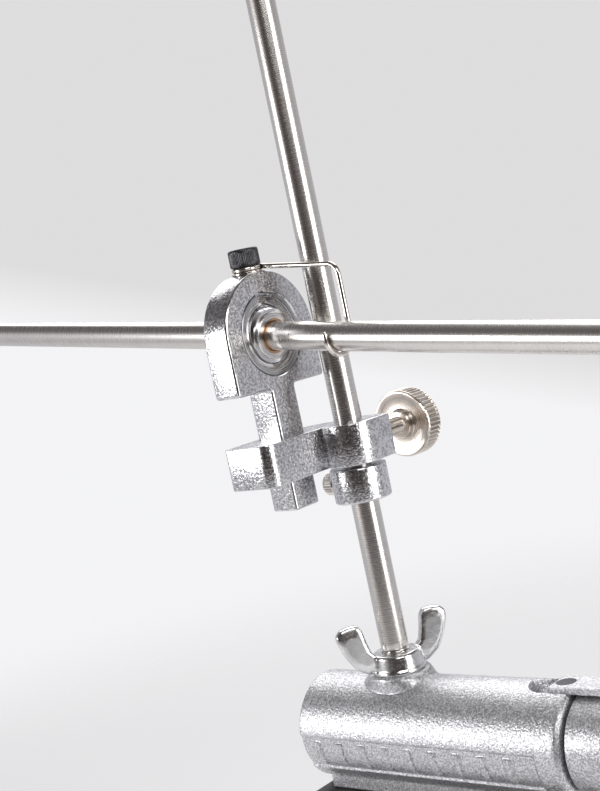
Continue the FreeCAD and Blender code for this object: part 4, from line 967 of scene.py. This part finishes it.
def make_jaw_details():
    """The jaw screw with its knurled head, and the lift spring."""
    place = local_frame(AXIS + EAST * (98 * MM), UP, EAST)
    profile = [(0, -8.6), (2.4, -8.6)] + stations(3.0, -8.0, 4.0, 0.125)
    profile += [(3.0, 9.05), (5, 9.05), (5, 10.6), (8.5, 10.6), (8.8, 10.8)]
    profile += stations(9.0, 11.2, 16.9, 0.4)
    profile += [(8.7, 17.5), (8.0, 17.9), (6.2, 18.3), (5.6, 18.0), (3, 17.9), (0, 17.9)]
    pitch = thread(1.0, 0.5, -8.0, 4.0)
    edge = knurl(40, 0.45, 8.9, 11.1, 17.0, 0.5)
    screw = turned("jaw_screw_knurled", profile, place, 480, threaded_and_knurled(pitch, edge, 6))
    dress(screw, "jaw_screw", "nickel", "jaw_screw")
    dress_spring("jaw_spring_coil", "jaw_spring", (-4.9, 0.6, 4.0, 0.4, 10, 32), place)


# ---------------------------------------------------------------- rod, holder and handle

def make_rod():
    """The guide rod, its rubber end cap and the spring's stop ring."""
    profile = [(0, -150), (3.4, -150), (3.8, -149.8), (4.0, -149.4)] + stations(4.0, -148, 401, 10)
    profile += [(3.8, 401.8), (0, 402)]
    dress(turned("guide_rod_ground", profile, ROD, 72), "rod", "ground_steel", "guide_rod",
          "rod_steel")
    cap = [(0, -153), (3.6, -153), (4.8, -152.7), (5.5, -151.9), (5.7, -151)]
    cap += stations(5.6, -150, -143.2, 0.4)
    cap += [(5.4, -142.3), (4.9, -142), (4.0, -142), (4.0, -150), (0, -150)]

    def ribs(_, radius, height):
        wave = 0.5 - 0.5 * math.cos(FULL * height / 1.6)
        return radius - 0.25 * wave if radius == 5.6 else radius

    dress(turned("rod_end_cap_ribbed", cap, ROD, 72, ribs), "rod", "rubber", "rod_end_cap")
    ring = rounded([(ROD_RADIUS, 118), (8.0, 118), (8.0, 126), (ROD_RADIUS, 126)], 0.6, 4)
    ring = turned("spring_stop_ring_turned", ring, ROD, 96, ring=True)
    dress(ring, "rod", "plain_aluminium", "spring_stop_ring")


def holder_block(name, low, lip_low, lip_high, bore):
    """A stone block on the rod with a lip at the stone's edge."""
    outline = rounded([(-8, -10, 2.2), (14, -10, 0.8), (14, 10, 0.8), (-8, 10, 2.2)], 1, 5)
    block = prism(name, outline, low, low + 12, ROD)
    lip = prism("lip", box_outline(12, 14, -9.6, 9.6), lip_low, lip_high, ROD)
    combine(block, lip, "UNION")
    bevel(block, 0.5, 3, 50)
    return drill(block, bore, low - 1, low + 13, ROD)


def make_holder():
    """The two stone blocks and the spring between ring and slider."""
    slider = holder_block("stone_block_rear_milled", 138, 149, 152.5, RUNNING_BORE)
    dress(slider, "stone_slider", "black_anodised", "stone_block_rear")
    fixed = holder_block("stone_block_front_milled", 300.5, 298, 301, ROD_RADIUS)
    dress(fixed, "rod", "black_anodised", "stone_block_front")
    dress_spring("stone_spring_coil", "stone_spring", (126.6, 137.4, 5.6, 0.5, 12, 40), ROD)


def make_handle():
    """Ferrule, turned beech grip and aluminium cap."""
    start = 312.5
    ferrule = rounded([(4.0, start + 1, 0), (8.8, start + 1, 0.8), (9.5, start + 2.6, 0.4),
                       (9.1, start + 3.2, 0.3), (9.6, start + 3.8, 0.4), (9.6, start + 5, 0.2),
                       (4.0, start + 5, 0)], 0.5, 4)
    dress(turned("handle_ferrule_turned", ferrule, ROD, 96, ring=True), "rod", "plain_aluminium",
          "handle_ferrule")
    knots = [(9.2, start + 5), (10.4, start + 14), (9.6, start + 26), (11.4, start + 46),
             (12.2, start + 66), (11.2, start + 82), (9.4, 406)]
    outline = smooth_line(knots, 10)
    profile = [(4.0, start + 5)] + outline + [(0, 406), (0, 402), (4.0, 402)]
    grip = turned("handle_grip_turned", profile, ROD, 96, ring=True)
    dress(grip, "rod", "beech", "handle_grip")
    cap = rounded([(0, 406, 0), (9.4, 406, 0), (9.4, 408.4, 0.9), (8, 410, 0.8), (0, 410.6, 0)],
                  0.5, 5)
    dress(turned("handle_cap_turned", cap, ROD, 96), "rod", "plain_aluminium", "handle_cap")


def smooth_line(knots, steps):
    """A smooth line through points."""
    made = []
    for index in range(len(knots) - 1):
        before = Vector(knots[max(index - 1, 0)])
        here, there = Vector(knots[index]), Vector(knots[index + 1])
        after = Vector(knots[min(index + 2, len(knots) - 1)])
        for step in range(steps):
            share = step / steps
            point = 0.5 * (2 * here + (there - before) * share
                           + (2 * before - 5 * here + 4 * there - after) * share ** 2
                           + (3 * here - before - 3 * there + after) * share ** 3)
            made.append(tuple(point))
    return made + [knots[-1]]


# ---------------------------------------------------------------- carried CAD nodes

KEPT = {
    "foot_screws": "black_oxide", "rear_bush": "bronze", "front_bush": "bronze",
    "rear_cap": "black_plastic", "spring_washer": "nickel", "index_tab": "cast_grey",
    "index_tab_screw": "black_oxide", "stop_pin": "ground_steel", "head_casting": "cast_grey",
    "guide_pins": "ground_steel", "upper_jaw": "jaw_steel", "holder_screws": "black_oxide",
}
EDGES = {"head_casting": 0.7, "upper_jaw": 0.6, "index_tab": 0.5, "rear_cap": 0.3,
         "front_bush": 0.2, "rear_bush": 0.2}


def finish_kept_nodes():
    """Give each carried CAD node its material and soft edges."""
    for name, material in KEPT.items():
        node = frame["nodes"][name]
        node.data.materials.clear()
        node.data.materials.append(MATERIALS[material])
        if name in EDGES:
            weld = node.modifiers.new("weld", "WELD")
            weld.merge_threshold = 0.00001
            edge = node.modifiers.new("edge", "BEVEL")
            edge.width = EDGES[name] * MM
            edge.segments = 3
            edge.limit_method = "ANGLE"
            edge.angle_limit = math.radians(40)


# ---------------------------------------------------------------- studio

def make_studio():
    """A pale floor that fades into the backdrop."""
    low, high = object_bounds()
    floor = mesh_object("floor", [], [], Matrix.Identity(4))
    work = bmesh.new()
    bmesh.ops.create_circle(work, cap_ends=True, segments=96, radius=FLOOR_FADE[1])
    work.to_mesh(floor.data)
    work.free()
    floor.location = (0, 0, low.z - 0.0005)
    paper = Shader("floor_paper")
    paper.bump((paper.noise(900, 3), 0.00002, 0.2))
    surface = paper.finish(paper.blend(paper.noise(3, 2), (0.86, 0.86, 0.87), (0.89, 0.89, 0.90)),
                           0.0, 0.7)
    fade = paper.inputs("MapRange", {
        "Value": paper.vector("LENGTH", paper.place), "From Min": FLOOR_FADE[0],
        "From Max": FLOOR_FADE[1]}, interpolation_type="SMOOTHERSTEP")
    clear = paper.node("BsdfTransparent")
    mixed = paper.inputs("MixShader", {0: fade.outputs["Result"],
                                                 1: paper.bsdf.outputs[0], 2: clear.outputs[0]})
    paper.link(mixed.outputs[0], paper.tree.nodes["Material Output"].inputs["Surface"])
    floor.data.materials.append(surface)
    floor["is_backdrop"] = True


def make_world():
    """Pale for the camera; for the metal, a bright room with a dark side behind the camera."""
    world = bpy.data.worlds.new("studio")
    bpy.context.scene.world = world
    sky = Nodes(world)
    sky.tree.nodes.clear()
    direction = sky.node("TexCoord").outputs["Generated"]

    def dot(axis):
        return sky.inputs("VectorMath", {0: direction, 1: tuple(axis)},
                          operation="DOT_PRODUCT").outputs["Value"]

    def ramp(source, stops):
        made = sky.inputs("ValToRGB", {"Fac": source})
        line = made.color_ramp
        while len(line.elements) < len(stops):
            line.elements.new(0.5)
        for element, (at, colour) in zip(line.elements, stops):
            element.position = at
            element.color = (*colour, 1)
        return made.outputs["Color"]

    def scaled(source, low, high):
        return sky.inputs("MapRange", {"Value": source, "From Min": low,
                                                 "From Max": high}).outputs["Result"]

    def mix(share, first, second, **kind):
        return sky.inputs("Mix", {0: share, 6: first, 7: second}, data_type="RGBA",
                          **kind).outputs[2]

    toward = Vector((-VIEW.x, -VIEW.y, 0)).normalized()
    seam = scaled(dot(SEAM), -0.012, 0.03)
    backdrop = mix(seam, (0.90, 0.90, 0.915, 1), (0.735, 0.725, 0.73, 1))
    facing = scaled(dot(toward), -1.0, 1.0)
    room = ramp(facing, [(0.0, (0.62, 0.62, 0.66)), (0.4, (0.55, 0.55, 0.585)),
                         (0.72, (0.36, 0.34, 0.335)), (0.86, (0.085, 0.07, 0.065)),
                         (1.0, (0.05, 0.04, 0.037))])
    height = scaled(dot(UP), -1.0, 1.0)
    dim = ramp(height, [(0.0, (1.1, 1.1, 1.13)), (0.5, (1.0, 1.0, 1.0)), (0.6, (0.9, 0.9, 0.9)),
                        (0.72, (0.30, 0.28, 0.27)), (0.9, (0.25, 0.24, 0.23)),
                        (1.0, (0.7, 0.69, 0.68))])
    shown = mix(1.0, room, dim, blend_type="MULTIPLY")
    camera_ray = sky.node("LightPath").outputs["Is Camera Ray"]
    shade = sky.inputs("Background", {"Color": mix(camera_ray, shown, backdrop),
                                                "Strength": 1.0})
    out = sky.node("OutputWorld")
    sky.link(shade.outputs[0], out.inputs["Surface"])


def soft_light(name, turn, height, distance, width, tall, power):
    """A rectangular light, turned round from the camera's side and aimed just below the eye."""
    data = bpy.data.lights.new(name, "AREA")
    data.shape = "RECTANGLE"
    data.size, data.size_y = width, tall
    data.energy = power
    lamp = bpy.data.objects.new(name, data)
    bpy.context.scene.collection.objects.link(lamp)
    azimuth = VIEW_AZIMUTH + math.radians(turn)
    target = Vector((0.02, 0, EYE.z - 0.03))
    out = Vector((math.sin(azimuth), -math.cos(azimuth), 0)) * distance + UP * height
    lamp.location = target + out
    lamp.rotation_mode = "QUATERNION"
    lamp.rotation_quaternion = (-out).to_track_quat("-Z", "Y")


FLOOR_FADE = (0.35, 1.1)
FOCAL = 1380.5
FRAME_HIGH = 791
CAMERA_AT = AXIS + Vector((0.25068, -0.29364, 0.13141))
VIEW = Vector((-0.66990, 0.73796, -0.08155)).normalized()
CAMERA_UP = Vector((0.09920, 0.19782, 0.97521))
CAMERA_RIGHT = VIEW.cross(CAMERA_UP).normalized()
VIEW_AZIMUTH = math.atan2(-VIEW.x, VIEW.y)


def view_ray(across, down):
    """The direction through a place in the frame, given from its centre in frame heights."""
    return (VIEW * (FOCAL / FRAME_HIGH) + CAMERA_RIGHT * across - CAMERA_UP * down).normalized()


SEAM = view_ray(-0.379, -0.115).cross(view_ray(0.379, 0.0)).normalized()
SEAM = SEAM if SEAM.z > 0 else -SEAM


def make_camera():
    """The camera at the usual three-quarter view, leaning a little."""
    data = bpy.data.cameras.new("camera")
    data.sensor_fit = "VERTICAL"
    data.sensor_width = data.sensor_height = 36
    data.lens = 36 * FOCAL / FRAME_HIGH
    data.clip_start, data.clip_end = 0.01, 20
    camera = bpy.data.objects.new("camera", data)
    bpy.context.scene.collection.objects.link(camera)
    turn = Matrix((CAMERA_RIGHT, CAMERA_UP, -VIEW)).transposed().to_4x4()
    camera.matrix_world = Matrix.Translation(CAMERA_AT) @ turn
    bpy.context.scene.camera = camera


for make in (make_barrel, make_foot, make_clamp, make_clamp_screw, make_post, make_wing_nut,
             make_collar, make_bracket, make_thumb_screw, make_eye, make_bearing, make_cap_screw,
             make_hook, make_jaw_details, make_rod, make_holder, make_handle, finish_kept_nodes,
             make_studio, make_world):
    make()
for light in (("left_softbox", -80, 0.06, 0.62, 0.24, 0.20, 1.5),
              ("right_softbox", 50, 0.05, 0.75, 0.30, 0.55, 3.2),
              ("front_softbox", 12, 0.50, 0.75, 0.5, 0.25, 2.5),
              ("high_softbox", 150, 0.9, 0.5, 0.8, 0.8, 4.0),
              ("floor_wash", 180, 0.7, 0.9, 1.2, 0.6, 6.0)):
    soft_light(*light)
make_camera()
bpy.context.scene.view_settings.view_transform = "Standard"
